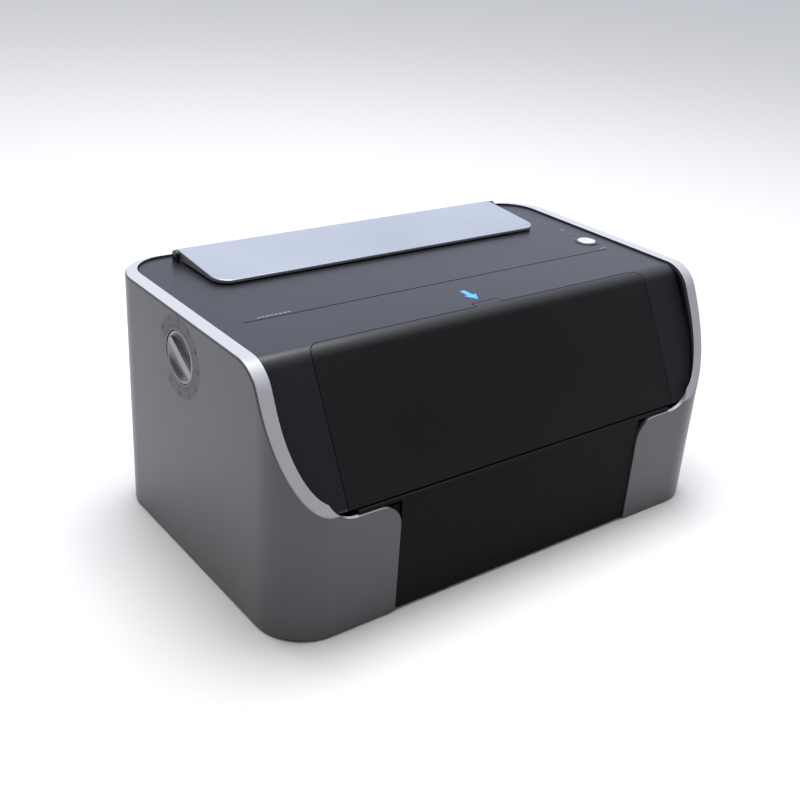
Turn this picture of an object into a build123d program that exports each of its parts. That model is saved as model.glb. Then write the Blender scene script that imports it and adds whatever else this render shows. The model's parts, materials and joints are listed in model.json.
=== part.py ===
from build123d import *

import os
from math import atan2, cos, radians, sin, tan

# Desktop flatbed UV printer. A silver panel wraps each side and its two corners, a dark cover
# and a drop-down front door close the middle, and a print bed slides under a lifting gantry.
# Millimetres. The origin is on the floor under the middle of the casing, +X points to the
# right, -Y is the front and +Z is up.

os.makedirs("parts", exist_ok=True)

# ---------------------------------------------------------------- driving dimensions

# Casing
WIDTH = 556.0
DEPTH = 345.0
HEIGHT = 257.0
CORNER_R = 50.0
SKIN = 3.0
EDGE_R = 2.4
PANEL_LIFT = 3.0

# Rim of the side panels: a flat top, a rounded shoulder, a slant and a low knee
RIM_T = 4.0
RIM_SIDE = 15.3
RIM_FRONT = 4.0
RIM_BACK = 3.0
RIM_INNER_R = 40.0
SHOULDER_SET = 62.2
SHOULDER_R = 36.0
KNEE_Z = 129.0
LOBE_WIDTH = 121.5
LOBE_TOP = 122.0
LOBE_R = 24.0
SWOOP_SET = 42.0
SWOOP_R = 31.0

# Dark cover and front door
COVER_DROP = 2.0
COVER_GAP = 1.2
COVER_SHOULDER_SET = 74.0
COVER_FRONT_SET = 3.8
COVER_KNEE_Z = 127.0
COVER_R = 18.0
SKIRT = 16.0
SILL_Z = 128.0
DOOR_SIDE_SET = 66.0
DOOR_GAP = 0.8
DOOR_CORNER_R = 14.0
DOOR_FLANGE = 14.0
SEAM_SET = 82.0
TAB_HALF = 16.5
TAB_REACH = 8.0
HINGE_IN = 17.5
HINGE_UP = 6.0
PIN_R = 2.0
PIN_L = 10.0
GROOVE_SET = 150.0
GROOVE_W = 1.3
GROOVE_D = 0.9
GROOVE_END_SET = 43.5

# Ink lid and ink bay
LID_SIDE_SET = 67.5
LID_FRONT_SET = 105.0
LID_AXIS_SET = 18.5
LID_GAP = 1.2
LID_EDGE = 3.6
LID_BARREL_R = 5.2
LID_CORNER_R = 17.0
BAY_HALF = 196.0
BAY_H = 55.0
CARTRIDGES = 6
CARTRIDGE_H = 42.0

# Power button
BUTTON_SIDE_SET = 43.9
BUTTON_Y = 8.5
BUTTON_R = 10.4
LED_Y = 36.0
LED_R = 1.5

# Bed
BED_TOP = 126.0
BED_T = 8.0
BED_WIDTH = 270.0
BED_DEPTH = 110.0
BED_DOOR_ROOM = 13.0
BED_REAR_ROOM = 54.5
ROD_R = 6.0
ROD_Z = 80.0
ROD_SPREAD = 90.0
SCREW_R = 5.0
SCREW_Z = 62.0

# Frame, gantry and lift
FRAME_SET = 43.0
FRAME_T = 3.0
SHAFT_DROP = 43.0
SHAFT_Y = 19.5
SHAFT_R = 4.0
CAM_LOW = 9.0
CAM_RISE = 9.0
CAM_TURN = 270.0
CAM_GAP = 0.4
BEAM_H = 24.0
BEAM_DEEP = 16.0
BEAM_Y = 2.0
GUIDE_Y = -15.5
GUIDE_R = 4.0
PULLEY_R = 8.0
BELT_T = 1.2
HEAD_GAP = 4.0
DIAL_R = 26.0

# Feet, pan and fits
FOOT_H = 4.0
FOOT_R = 12.0
FOOT_STEM_R = 4.0
PAN_T = 1.5
RUN = 0.05
CLEAR = 30.0

# ---------------------------------------------------------------- derived places

HALF_W = WIDTH / 2
FRONT = -DEPTH / 2
BACK = DEPTH / 2
COVER_TOP = HEIGHT - COVER_DROP
COVER_UNDER = COVER_TOP - SKIN
COVER_HALF = HALF_W - RIM_SIDE - COVER_GAP
COVER_FRONT = FRONT + RIM_FRONT + COVER_GAP
COVER_BACK = BACK - RIM_BACK - COVER_GAP
COVER_PLAN_R = RIM_INNER_R - COVER_GAP
REAR_HALF = HALF_W - 72.0
REAR_T = 3.0
DOOR_HALF = HALF_W - DOOR_SIDE_SET
SEAM_Y = FRONT + SEAM_SET
HINGE_Y = FRONT + HINGE_IN
HINGE_Z = SILL_Z + HINGE_UP
STRIP_TOP = SILL_Z - 1.7
LOBE_X = HALF_W - LOBE_WIDTH
LID_HALF = HALF_W - LID_SIDE_SET
LID_FRONT = BACK - LID_FRONT_SET
LID_AXIS_Y = BACK - LID_AXIS_SET
LID_LOW = COVER_TOP + LID_GAP
LID_AXIS_Z = LID_LOW + LID_BARREL_R - 0.2
BUTTON_X = HALF_W - BUTTON_SIDE_SET
BOARD_Z = COVER_TOP - 15.0
PAN_TOP = FOOT_H + PAN_T
FRAME_X = HALF_W - FRAME_SET
SHAFT_Z = HEIGHT - SHAFT_DROP
BEAM_HALF = FRAME_X - 21.0
BEAM_Z = SHAFT_Z - 32.0
BEAM_FRONT = BEAM_Y - BEAM_DEEP / 2
GUIDE_X = FRAME_X - 9.0
MOTOR_X = BEAM_HALF - 18.0
MOTOR_Y = -2.0
PLATE_Z = BEAM_Z - 19.0
BELT_Z = PLATE_Z + 6.0
PARK_X = FRAME_X - 70.0
HEAD_Z = BED_TOP + HEAD_GAP
HEAD_Y = -42.0
BED_FRONT = HINGE_Y + BED_DOOR_ROOM
BED_Y = BED_FRONT + BED_DEPTH / 2
BED_TRAVEL = BACK - BED_REAR_ROOM - BED_FRONT - BED_DEPTH
END_PLATE_T = 6.0
END_FRONT_Y = FRONT + 9.5
END_REAR_Y = BED_Y + BED_TRAVEL + BED_DEPTH / 2 - 5.0
FAN_X = -120.0
FAN_Z = 150.0
INLET_Z = 72.0
INLET_X = 178.0
SWITCH_X = 140.0
USB_X = 106.0

TURN = {"x": (0, 90, 0), "y": (90, 0, 0), "z": (0, 0, 0)}


# ---------------------------------------------------------------- small helpers


def block(x, y, z, mode=Mode.ADD):
    """A box between two values on each axis, in the open part."""
    with Locations(((x[0] + x[1]) / 2, (y[0] + y[1]) / 2, (z[0] + z[1]) / 2)):
        Box(x[1] - x[0], y[1] - y[0], z[1] - z[0], mode=mode)


def bar(axis, centre, radius, span, mode=Mode.ADD):
    """A cylinder along one axis; centre holds the two other coordinates, in axis order."""
    middle = (span[0] + span[1]) / 2
    place = {
        "x": (middle, centre[0], centre[-1]),
        "y": (centre[0], middle, centre[-1]),
        "z": (centre[0], centre[-1], middle),
    }[axis]
    with Locations(place):
        Cylinder(radius, span[1] - span[0], rotation=TURN[axis], mode=mode)


def mirrored(side, near, far):
    """The X span from near to far on one side, lowest value first."""
    return tuple(sorted((side * near, side * far)))


def side_face(top, shoulder, front, knee, radius, depth):
    """Side profile of a casing surface in the YZ plane, moved inwards by depth.

    It is flat at the top, turns down over a rounded shoulder, runs down a slant to the knee
    and is upright below it.
    """
    tilt = atan2(top - knee, shoulder - front)
    top_in = top - depth
    shoulder_in = shoulder + depth * tan(tilt / 2)
    front_in = front + depth
    knee_in = top_in - (shoulder_in - front_in) * tan(tilt)
    with BuildSketch(Plane.YZ) as face:
        with BuildLine():
            Polyline(
                (front_in, -CLEAR),
                (front_in, knee_in),
                (shoulder_in, top_in),
                (BACK + CLEAR, top_in),
                (BACK + CLEAR, -CLEAR),
                close=True,
            )
        make_face()
        bend = face.vertices().sort_by_distance((shoulder_in, top_in))[0]
        fillet(bend, radius=max(radius - depth, 1.0))
    return face.sketch


def rim_face(depth):
    """Side profile of the silver rim."""
    shoulder = FRONT + SHOULDER_SET
    return side_face(HEIGHT, shoulder, FRONT, KNEE_Z, SHOULDER_R, depth)


def cover_face(depth):
    """Side profile of the dark cover and door."""
    shoulder = FRONT + COVER_SHOULDER_SET
    front = FRONT + COVER_FRONT_SET
    return side_face(COVER_TOP, shoulder, front, COVER_KNEE_Z, COVER_R, depth)


def plan_prism(half, front, back, radius, low, high):
    """Upright prism over a rounded rectangle."""
    with BuildPart() as prism:
        with BuildSketch(Plane.XY.offset(low)):
            with Locations((0, (front + back) / 2)):
                RectangleRounded(2 * half, back - front, radius)
        extrude(amount=high - low)
    return prism.part


def under(prism, face):
    """The part of a prism that lies under a side profile."""
    with BuildPart() as trimmed:
        add(prism)
        extrude(face, amount=HALF_W + CLEAR, both=True, mode=Mode.INTERSECT)
    return trimmed.part


def door_outline(grow):
    """Plan of the door with its rounded rear corners and its finger tab, grown all round."""
    with BuildSketch() as outline:
        front = FRONT - CLEAR
        back = SEAM_Y + grow
        with Locations((0, (front + back) / 2)):
            Rectangle(2 * (DOOR_HALF + grow), back - front)
        fillet(outline.vertices().group_by(Axis.Y)[-1], radius=DOOR_CORNER_R + grow)
        with Locations((0, back)):
            Rectangle(2 * (TAB_HALF + grow), 2 * TAB_REACH)
        fillet(outline.vertices().group_by(Axis.Y)[-1], radius=3.0 + grow)
    return outline.sketch


def hollow_band(x, depth, back=BACK + CLEAR):
    """A strip of the cover's side profile, depth thick, between two values of X."""
    with BuildPart() as band:
        extrude(cover_face(0).moved(Location((x[0], 0, 0))), amount=x[1] - x[0])
        extrude(cover_face(depth), amount=HALF_W + CLEAR, both=True, mode=Mode.SUBTRACT)
        block(x, (back, BACK + 2 * CLEAR), (-2 * CLEAR, HEIGHT + CLEAR), Mode.SUBTRACT)
    return band.part


# ---------------------------------------------------------------- shells shared by the casing

TALL = (-CLEAR, HEIGHT + CLEAR)

with BuildPart() as rim_block:
    add(under(plan_prism(HALF_W, FRONT, BACK, CORNER_R, *TALL), rim_face(0)))
    crown = rim_block.faces().filter_by(lambda f: f.normal_at().Z > 0.1)
    walls = rim_block.faces().filter_by(lambda f: abs(f.normal_at().Z) < 0.01)
    edges = ShapeList(
        e
        for e in rim_block.edges()
        if any(e.is_same(c) for f in crown for c in f.edges())
        and any(e.is_same(w) for f in walls for w in f.edges())
    )
    fillet(edges, radius=EDGE_R)

rim_hollow = under(
    plan_prism(HALF_W - SKIN, FRONT + SKIN, BACK - SKIN, CORNER_R - SKIN, *TALL),
    rim_face(RIM_T),
)
rim_opening = plan_prism(
    HALF_W - RIM_SIDE, FRONT + RIM_FRONT, BACK - RIM_BACK, RIM_INNER_R, *TALL
)
cover_block = under(
    plan_prism(COVER_HALF, COVER_FRONT, COVER_BACK, COVER_PLAN_R, *TALL), cover_face(0)
)
cover_hollow = under(
    plan_prism(
        COVER_HALF - SKIN, COVER_FRONT + SKIN, COVER_BACK - SKIN, COVER_PLAN_R - SKIN, *TALL
    ),
    cover_face(SKIN),
)

# ---------------------------------------------------------------- side panels

SCREW_X = HALF_W - 64.0
SCREW_ROWS = (40.0, HEIGHT / 2, HEIGHT - 41.0)
SCREW_HEAD_R = 3.2
SCREW_HEAD_H = 1.8
SCREW_SHANK_R = 1.5

for side, word in ((-1, "left"), (1, "right")):
    with BuildPart() as side_panel:
        add(rim_block.part)
        add(rim_hollow, mode=Mode.SUBTRACT)
        add(rim_opening, mode=Mode.SUBTRACT)
        with Locations((side * HALF_W, 0, PANEL_LIFT)):
            Box(
                2 * LOBE_WIDTH,
                DEPTH + CLEAR,
                HEIGHT + CLEAR,
                align=(Align.CENTER, Align.CENTER, Align.MIN),
                mode=Mode.INTERSECT,
            )
        # The front is cut back to the lobe, whose top swoops up into the slanted rim.
        with BuildSketch(Plane.XZ.offset(BACK + CLEAR)) as cut:
            swoop_x = side * (HALF_W - SWOOP_SET)
            with BuildLine():
                Polyline(
                    (0, -CLEAR),
                    (side * LOBE_X, -CLEAR),
                    (side * LOBE_X, LOBE_TOP),
                    (swoop_x, LOBE_TOP),
                    (swoop_x, HEIGHT + CLEAR),
                    (0, HEIGHT + CLEAR),
                    close=True,
                )
            make_face()
            inner = cut.vertices().sort_by_distance((side * LOBE_X, LOBE_TOP))[0]
            fillet(inner, radius=LOBE_R)
            outer = cut.vertices().sort_by_distance((swoop_x, LOBE_TOP))[0]
            fillet(outer, radius=SWOOP_R)
        extrude(amount=-(CLEAR + CORNER_R + RIM_SIDE), mode=Mode.SUBTRACT)
        block((-REAR_HALF, REAR_HALF), (0, BACK + CLEAR), TALL, mode=Mode.SUBTRACT)
        for row in SCREW_ROWS:
            place = (side * SCREW_X, row)
            bar("y", place, SCREW_SHANK_R + 0.2, (BACK - 10, BACK + 1), Mode.SUBTRACT)
            seat = (BACK - SCREW_HEAD_H - 0.1, BACK + 1)
            bar("y", place, SCREW_HEAD_R + 0.2, seat, Mode.SUBTRACT)
        if word == "left":
            hole = (-HALF_W - 1, -HALF_W + RIM_SIDE)
            bar("x", (SHAFT_Y, SHAFT_Z), DIAL_R, hole, Mode.SUBTRACT)
    side_panel.part.label = f"{word}_side_panel"
    export_step(side_panel.part, f"parts/{word}_side_panel.step")

with BuildPart() as case_screws:
    for side in (-1, 1):
        for row in SCREW_ROWS:
            place = (side * SCREW_X, row)
            bar("y", place, SCREW_SHANK_R, (BACK - 14, BACK - SCREW_HEAD_H))
            bar("y", place, SCREW_HEAD_R, (BACK - SCREW_HEAD_H, BACK - 0.2))
            slot_y = (BACK - 1.0, BACK)
            block((side * SCREW_X - 2, side * SCREW_X + 2), slot_y, (row - 0.4, row + 0.4),
                  Mode.SUBTRACT)
            block((side * SCREW_X - 0.4, side * SCREW_X + 0.4), slot_y, (row - 2, row + 2),
                  Mode.SUBTRACT)
case_screws.part.label = "case_screws"
export_step(case_screws.part, "parts/case_screws.step")

# ---------------------------------------------------------------- top cover and its fittings

CHEEK_X = DOOR_HALF + DOOR_GAP
BAY_FRONT = LID_FRONT + 12.5
BAY_BACK = LID_AXIS_Y - 12.0
EAR_NEAR = LID_HALF + 0.7
EAR_FAR = EAR_NEAR + 3.5
BEZEL_R = BUTTON_R + 1.7
GROOVE_Y = FRONT + GROOVE_SET
GROOVE_HALF = HALF_W - GROOVE_END_SET
LIP_Y = SEAM_Y + DOOR_GAP
LIP_Z = (COVER_UNDER - 4.5, COVER_UNDER - 2.0)
FLANGE_BACK = SEAM_Y - DOOR_CORNER_R - 2
BOSS_R = 3.0
BOSSES = ((BUTTON_X - 16, BUTTON_Y - 16), (BUTTON_X + 16, BUTTON_Y + 34))

with BuildPart() as top_cover:
    add(cover_block)
    add(cover_hollow, mode=Mode.SUBTRACT)
    # Only a skirt of the side wall is left under the top and the slant.
    extrude(cover_face(SKIRT), amount=HALF_W + CLEAR, both=True, mode=Mode.SUBTRACT)
    extrude(door_outline(DOOR_GAP), amount=HEIGHT + CLEAR, mode=Mode.SUBTRACT)
    # Side flanges beside the door carry its hinge.
    for side in (-1, 1):
        span = mirrored(side, CHEEK_X, CHEEK_X + SKIN)
        add(hollow_band(span, DOOR_FLANGE, FLANGE_BACK))
        bar("x", (HINGE_Y, HINGE_Z), PIN_R + RUN, span, Mode.SUBTRACT)
    block((-HALF_W, HALF_W), (FRONT - CLEAR, COVER_FRONT), TALL, Mode.SUBTRACT)
    block((-HALF_W, HALF_W), (FRONT - CLEAR, BACK), (-CLEAR, SILL_Z - 0.5), Mode.SUBTRACT)
    # A lip under the seam holds up the top edge of the closed door.
    lip_half = DOOR_HALF - DOOR_CORNER_R
    block((-lip_half, lip_half), (LIP_Y - 3, LIP_Y + SKIN), LIP_Z)
    for side in (-1, 1):
        block(mirrored(side, TAB_HALF + 2, lip_half), (LIP_Y, LIP_Y + SKIN),
              (LIP_Z[0], COVER_UNDER + 0.5))
    # Opening over the ink bay, with the ears that hold the lid's hinge pins.
    block((-BAY_HALF - 4, BAY_HALF + 4), (BAY_FRONT - 4, BAY_BACK + 2),
          (COVER_UNDER - 1, HEIGHT), Mode.SUBTRACT)
    for side in (-1, 1):
        span = mirrored(side, EAR_NEAR, EAR_FAR)
        block(span, (LID_AXIS_Y - LID_BARREL_R, LID_AXIS_Y + LID_BARREL_R),
              (COVER_UNDER, LID_AXIS_Z))
        bar("x", (LID_AXIS_Y, LID_AXIS_Z), LID_BARREL_R, span)
        bar("x", (LID_AXIS_Y, LID_AXIS_Z), PIN_R + RUN, span, Mode.SUBTRACT)
    # Groove across the top, button and light holes, and bosses for the board below them.
    block((-GROOVE_HALF, GROOVE_HALF), (GROOVE_Y - GROOVE_W / 2, GROOVE_Y + GROOVE_W / 2),
          (COVER_TOP - GROOVE_D, HEIGHT), Mode.SUBTRACT)
    for boss in BOSSES:
        bar("z", boss, BOSS_R, (BOARD_Z + 1.6, COVER_UNDER + 0.5))
    bar("z", (BUTTON_X, BUTTON_Y), BEZEL_R + RUN, (COVER_UNDER - 1, HEIGHT), Mode.SUBTRACT)
    bar("z", (BUTTON_X, LED_Y), LED_R + 0.1, (COVER_UNDER - 1, HEIGHT), Mode.SUBTRACT)
top_cover.part.label = "top_cover"
export_step(top_cover.part, "parts/top_cover.step")

with BuildPart() as button_bezel:
    place = (BUTTON_X, BUTTON_Y)
    bar("z", place, BEZEL_R, (COVER_TOP - 9, COVER_TOP + 0.8))
    bar("z", place, BEZEL_R + 1.4, (COVER_TOP, COVER_TOP + 0.8))
    bar("z", place, BUTTON_R + 0.3, (COVER_TOP - 8, HEIGHT), Mode.SUBTRACT)
    bar("z", place, 3.0 + RUN, (COVER_TOP - 10, COVER_TOP - 7), Mode.SUBTRACT)
    rim_edge = button_bezel.edges().filter_by(GeomType.CIRCLE).group_by(Axis.Z)[-1]
    fillet(rim_edge, radius=0.35)
button_bezel.part.label = "button_bezel"
export_step(button_bezel.part, "parts/button_bezel.step")

with BuildPart() as power_button:
    cap_top = COVER_TOP + 1.4
    bar("z", place, BUTTON_R, (COVER_TOP - 5, cap_top))
    crest = power_button.edges().filter_by(GeomType.CIRCLE).group_by(Axis.Z)[-1]
    fillet(crest, radius=0.9)
    bar("z", place, BUTTON_R - 1.5, (COVER_TOP - 6, cap_top - 2), Mode.SUBTRACT)
    bar("z", place, 3.0, (BOARD_Z + 6.8, cap_top - 1.9))
power_button.part.label = "power_button"
export_step(power_button.part, "parts/power_button.step")

with BuildPart() as control_board:
    block((BUTTON_X - 20, BUTTON_X + 20), (BUTTON_Y - 20, BUTTON_Y + 39),
          (BOARD_Z, BOARD_Z + 1.6))
    block((BUTTON_X - 3, BUTTON_X + 3), (BUTTON_Y - 3, BUTTON_Y + 3),
          (BOARD_Z + 1.6, BOARD_Z + 3.8))
    bar("z", place, 1.7, (BOARD_Z + 3.8, BOARD_Z + 4.6))
    bar("z", (BUTTON_X, LED_Y), LED_R, (BOARD_Z + 1.6, COVER_TOP + 0.3))
    block((BUTTON_X - 18, BUTTON_X - 12), (BUTTON_Y + 4, BUTTON_Y + 16),
          (BOARD_Z + 1.6, BOARD_Z + 6))
control_board.part.label = "control_board"
export_step(control_board.part, "parts/control_board.step")

# ---------------------------------------------------------------- front door

with BuildPart() as front_door:
    add(hollow_band((-DOOR_HALF, DOOR_HALF), SKIN))
    extrude(door_outline(0), amount=HEIGHT + CLEAR, mode=Mode.INTERSECT)
    for side in (-1, 1):
        span = mirrored(side, DOOR_HALF - SKIN, DOOR_HALF)
        add(hollow_band(span, DOOR_FLANGE, FLANGE_BACK))
        bar("x", (HINGE_Y, HINGE_Z), PIN_R + RUN, span, Mode.SUBTRACT)
    block((-HALF_W, HALF_W), (FRONT - CLEAR, BACK), (-CLEAR, SILL_Z), Mode.SUBTRACT)
    # Two ribs stiffen the panel behind its slant.
    for side in (-1, 1):
        rib = hollow_band(mirrored(side, TAB_HALF + 50, TAB_HALF + 52), DOOR_FLANGE - 6)
        add(rib & plan_prism(DOOR_HALF, HINGE_Y, SEAM_Y - 12, 2, SILL_Z + 24, HEIGHT))
front_door.part.label = "front_door"
export_step(front_door.part, "parts/front_door.step")

with BuildPart() as hinge_pins:
    for side in (-1, 1):
        door_span = mirrored(side, DOOR_HALF - 5, DOOR_HALF - 5 + PIN_L)
        bar("x", (HINGE_Y, HINGE_Z), PIN_R, door_span)
        lid_span = mirrored(side, EAR_FAR - PIN_L, EAR_FAR)
        bar("x", (LID_AXIS_Y, LID_AXIS_Z), PIN_R, lid_span)
hinge_pins.part.label = "hinge_pins"
export_step(hinge_pins.part, "parts/hinge_pins.step")

# ---------------------------------------------------------------- ink lid and ink bay

LID_BACK_TOP = LID_AXIS_Z + LID_BARREL_R
LID_SLOPE = (LID_BACK_TOP - LID_LOW - LID_EDGE) / (LID_AXIS_Y - LID_FRONT)


def lid_top(y):
    """Height of the lid's sloping top at one depth."""
    return LID_LOW + LID_EDGE + LID_SLOPE * (y - LID_FRONT)


with BuildPart() as ink_lid:
    lid_back = LID_AXIS_Y + LID_BARREL_R
    with BuildSketch(Plane.YZ) as lid_side:
        with BuildLine():
            Polyline(
                (LID_FRONT, LID_LOW),
                (LID_FRONT, LID_LOW + LID_EDGE),
                (lid_back, lid_top(lid_back)),
                (lid_back, LID_LOW),
                close=True,
            )
        make_face()
        fillet(lid_side.vertices().sort_by_distance((lid_back, LID_LOW))[0],
               radius=LID_BARREL_R - 0.6)
        fillet(lid_side.vertices().sort_by_distance((lid_back, lid_top(lid_back)))[0],
               radius=LID_BARREL_R - 1.7)
    extrude(amount=LID_HALF, both=True)
    with BuildSketch(Plane.XY.offset(COVER_TOP)) as lid_plan:
        with Locations((0, (LID_FRONT + BACK) / 2)):
            Rectangle(2 * LID_HALF, BACK - LID_FRONT)
        fillet(lid_plan.vertices().group_by(Axis.Y)[0], radius=LID_CORNER_R)
    extrude(amount=CLEAR, mode=Mode.INTERSECT)
    sloped = ink_lid.faces().filter_by(lambda f: 0.9 < f.normal_at().Z < 0.9999)[0]
    fillet(sloped.edges().filter_by(lambda e: e.center().Y < LID_AXIS_Y - 1), radius=1.1)
    # The underside is hollow between its side walls.
    hollow_y = (LID_FRONT + 12, LID_AXIS_Y - LID_BARREL_R - 2)
    with BuildSketch(Plane.YZ):
        with BuildLine():
            Polyline(
                (hollow_y[0], LID_LOW - 1),
                (hollow_y[0], lid_top(hollow_y[0]) - 2.5),
                (hollow_y[1], lid_top(hollow_y[1]) - 2.5),
                (hollow_y[1], LID_LOW - 1),
                close=True,
            )
        make_face()
    extrude(amount=LID_HALF - SKIN, both=True, mode=Mode.SUBTRACT)
    for side in (-1, 1):
        span = mirrored(side, EAR_FAR - PIN_L - 0.5, LID_HALF + 1)
        bar("x", (LID_AXIS_Y, LID_AXIS_Z), PIN_R + RUN, span, Mode.SUBTRACT)
ink_lid.part.label = "ink_lid"
export_step(ink_lid.part, "parts/ink_lid.step")

BAY_LOW = COVER_UNDER - BAY_H
CELL = (2 * BAY_HALF - 4) / CARTRIDGES

with BuildPart() as ink_bay:
    block((-BAY_HALF, BAY_HALF), (BAY_FRONT, BAY_BACK), (BAY_LOW, COVER_UNDER))
    block((-BAY_HALF - 8, BAY_HALF + 8), (BAY_FRONT - 7, BAY_BACK + 6),
          (COVER_UNDER - 2, COVER_UNDER))
    block((-BAY_HALF + 2, BAY_HALF - 2), (BAY_FRONT + 2, BAY_BACK - 2),
          (BAY_LOW + 2, COVER_TOP), Mode.SUBTRACT)
    for cell in range(1, CARTRIDGES):
        wall = -BAY_HALF + 2 + cell * CELL
        block((wall - 0.8, wall + 0.8), (BAY_FRONT + 1, BAY_BACK - 1),
              (BAY_LOW + 1, BAY_LOW + CARTRIDGE_H * 0.6))
ink_bay.part.label = "ink_bay"
export_step(ink_bay.part, "parts/ink_bay.step")

with BuildPart() as ink_cartridges:
    for cell in range(CARTRIDGES):
        middle = -BAY_HALF + 2 + (cell + 0.5) * CELL
        half = CELL / 2 - 1.6
        block((middle - half, middle + half), (BAY_FRONT + 3, BAY_BACK - 3),
              (BAY_LOW + 2, BAY_LOW + 2 + CARTRIDGE_H - 4))
        block((middle - half * 0.6, middle + half * 0.6), (BAY_FRONT + 9, BAY_BACK - 9),
              (BAY_LOW + CARTRIDGE_H - 3, BAY_LOW + CARTRIDGE_H + 1))
ink_cartridges.part.label = "ink_cartridges"
export_step(ink_cartridges.part, "parts/ink_cartridges.step")

# ---------------------------------------------------------------- pan, feet, front and rear

PAN_HALF = HALF_W - SKIN - 0.3
PAN_FRONT = FRONT + 8.0
PAN_BACK = BACK - 7.0
PAN_R = CORNER_R - 7.0
PAN_EDGE = 14.0
FOOT_X = HALF_W - 30.0
FOOT_Y = DEPTH / 2 - 52.0
FEET = [(x, y) for x in (-FOOT_X, FOOT_X) for y in (-FOOT_Y, FOOT_Y)]
SUPPLY_X = (-(FRAME_X - 23), -(FRAME_X - 117))
SUPPLY_Y = (-60.0, 66.0)
BOARD_X = (112.0, FRAME_X - 22)
BOARD_DEEP = 79.5
BOARD_Y = (BACK - 27 - BOARD_DEEP, BACK - 27)
MAIN_Z = PAN_TOP + 8.0
STANDOFFS = [(x, y) for x in (BOARD_X[0] + 5, BOARD_X[1] - 5)
             for y in (BOARD_Y[0] + 5, BOARD_Y[1] - 5)]

with BuildPart() as base_pan:
    add(plan_prism(PAN_HALF, PAN_FRONT, PAN_BACK, PAN_R, FOOT_H, FOOT_H + PAN_EDGE))
    add(
        plan_prism(PAN_HALF - PAN_T, PAN_FRONT + PAN_T, PAN_BACK - PAN_T, PAN_R - PAN_T,
                   PAN_TOP, FOOT_H + PAN_EDGE + 1),
        mode=Mode.SUBTRACT,
    )
    for foot in FEET:
        bar("z", foot, FOOT_STEM_R + RUN, (0, PAN_TOP + 1), Mode.SUBTRACT)
    for spot in STANDOFFS:
        bar("z", spot, 3.0, (PAN_TOP - 0.5, MAIN_Z))
    with BuildSketch(Plane.XY.offset(FOOT_H - 1)):
        with Locations((sum(SUPPLY_X) / 2, sum(SUPPLY_Y) / 2)):
            with GridLocations(30, 10, 3, 9):
                SlotOverall(24, 4)
    extrude(amount=PAN_T + 2, mode=Mode.SUBTRACT)
base_pan.part.label = "base_pan"
export_step(base_pan.part, "parts/base_pan.step")

with BuildPart() as rubber_feet:
    for foot in FEET:
        with BuildSketch(Plane.XY) as tread:
            with Locations(foot):
                Circle(FOOT_R - 1)
        extrude(tread.sketch, amount=1)
        bar("z", foot, FOOT_R, (1, FOOT_H))
        bar("z", foot, FOOT_STEM_R, (FOOT_H, PAN_TOP + 2))
rubber_feet.part.label = "rubber_feet"
export_step(rubber_feet.part, "parts/rubber_feet.step")

FACE_Y = (FRONT + 1.6, FRONT + 5.0)
LAP_Y = (FRONT + RIM_FRONT + 0.4, FRONT + RIM_FRONT + 3.4)

with BuildPart() as front_panel:
    seen = LOBE_X - 1.0
    block((-seen, seen), FACE_Y, (PANEL_LIFT + 0.5, STRIP_TOP))
    block((-seen - 28, seen + 28), LAP_Y, (PAN_TOP + 3, LOBE_TOP - 4))
    strip_half = HALF_W - SWOOP_SET - SWOOP_R - 2
    block((-strip_half, strip_half), (FACE_Y[0], FACE_Y[1] - 0.4), (LOBE_TOP + 1, STRIP_TOP))
    block((-seen, seen), (LAP_Y[1], LAP_Y[1] + 2.4), (LOBE_TOP - 8, LOBE_TOP - 4))
front_panel.part.label = "front_panel"
export_step(front_panel.part, "parts/front_panel.step")

GRILLE_R = 36.0
FAN_HALF = 40.0
INLET_HALF = (13.7, 10.2)
SWITCH_HALF = (6.8, 10.3)
USB_HALF = (6.0, 5.5)
SOCKETS = ((INLET_X, INLET_HALF), (SWITCH_X, SWITCH_HALF), (USB_X, USB_HALF))

with BuildPart() as rear_panel:
    plate_half = REAR_HALF - 0.5
    block((-plate_half, plate_half), (BACK - REAR_T, BACK), (PANEL_LIFT + 2, HEIGHT - 1))
    for side in (-1, 1):
        block(mirrored(side, plate_half - 8, plate_half), (BACK - 6.2, BACK - REAR_T + 0.1),
              (PAN_TOP + 5, COVER_TOP - SKIRT - 2))
        block(mirrored(side, plate_half - 8, SCREW_X + 7), (BACK - 6.2, BACK - REAR_T - 0.2),
              (PAN_TOP + 5, COVER_TOP - SKIRT - 2))
        for row in SCREW_ROWS:
            bar("y", (side * SCREW_X, row), 3.4, (BACK - 12, BACK - REAR_T - 0.2))
            bar("y", (side * SCREW_X, row), SCREW_SHANK_R + RUN, (BACK - 15, BACK),
                Mode.SUBTRACT)
    # Fan grille: slots trimmed to a circle.
    rows = range(-5, 6)
    for row in rows:
        half = (GRILLE_R**2 - (abs(row) * 6.0 + 1.6) ** 2) ** 0.5
        z = FAN_Z + row * 6.0
        for part in (-1, 1):
            block((min(FAN_X + part, FAN_X + part * half), max(FAN_X + part, FAN_X + part * half)),
                  (BACK - REAR_T - 1, BACK + 1), (z - 1.6, z + 1.6), Mode.SUBTRACT)
    # Louvres low down, and cut-outs for the sockets.
    for column in range(8):
        x = FAN_X - 49 + column * 14
        block((x - 4.5, x + 4.5), (BACK - REAR_T - 1, BACK + 1), (36, 62), Mode.SUBTRACT)
    for x, (half_x, half_z) in SOCKETS:
        block((x - half_x - 0.2, x + half_x + 0.2), (BACK - REAR_T - 1, BACK + 1),
              (INLET_Z - half_z - 0.2, INLET_Z + half_z + 0.2), Mode.SUBTRACT)
rear_panel.part.label = "rear_panel"
export_step(rear_panel.part, "parts/rear_panel.step")

# ---------------------------------------------------------------- frame plates and lift

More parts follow.
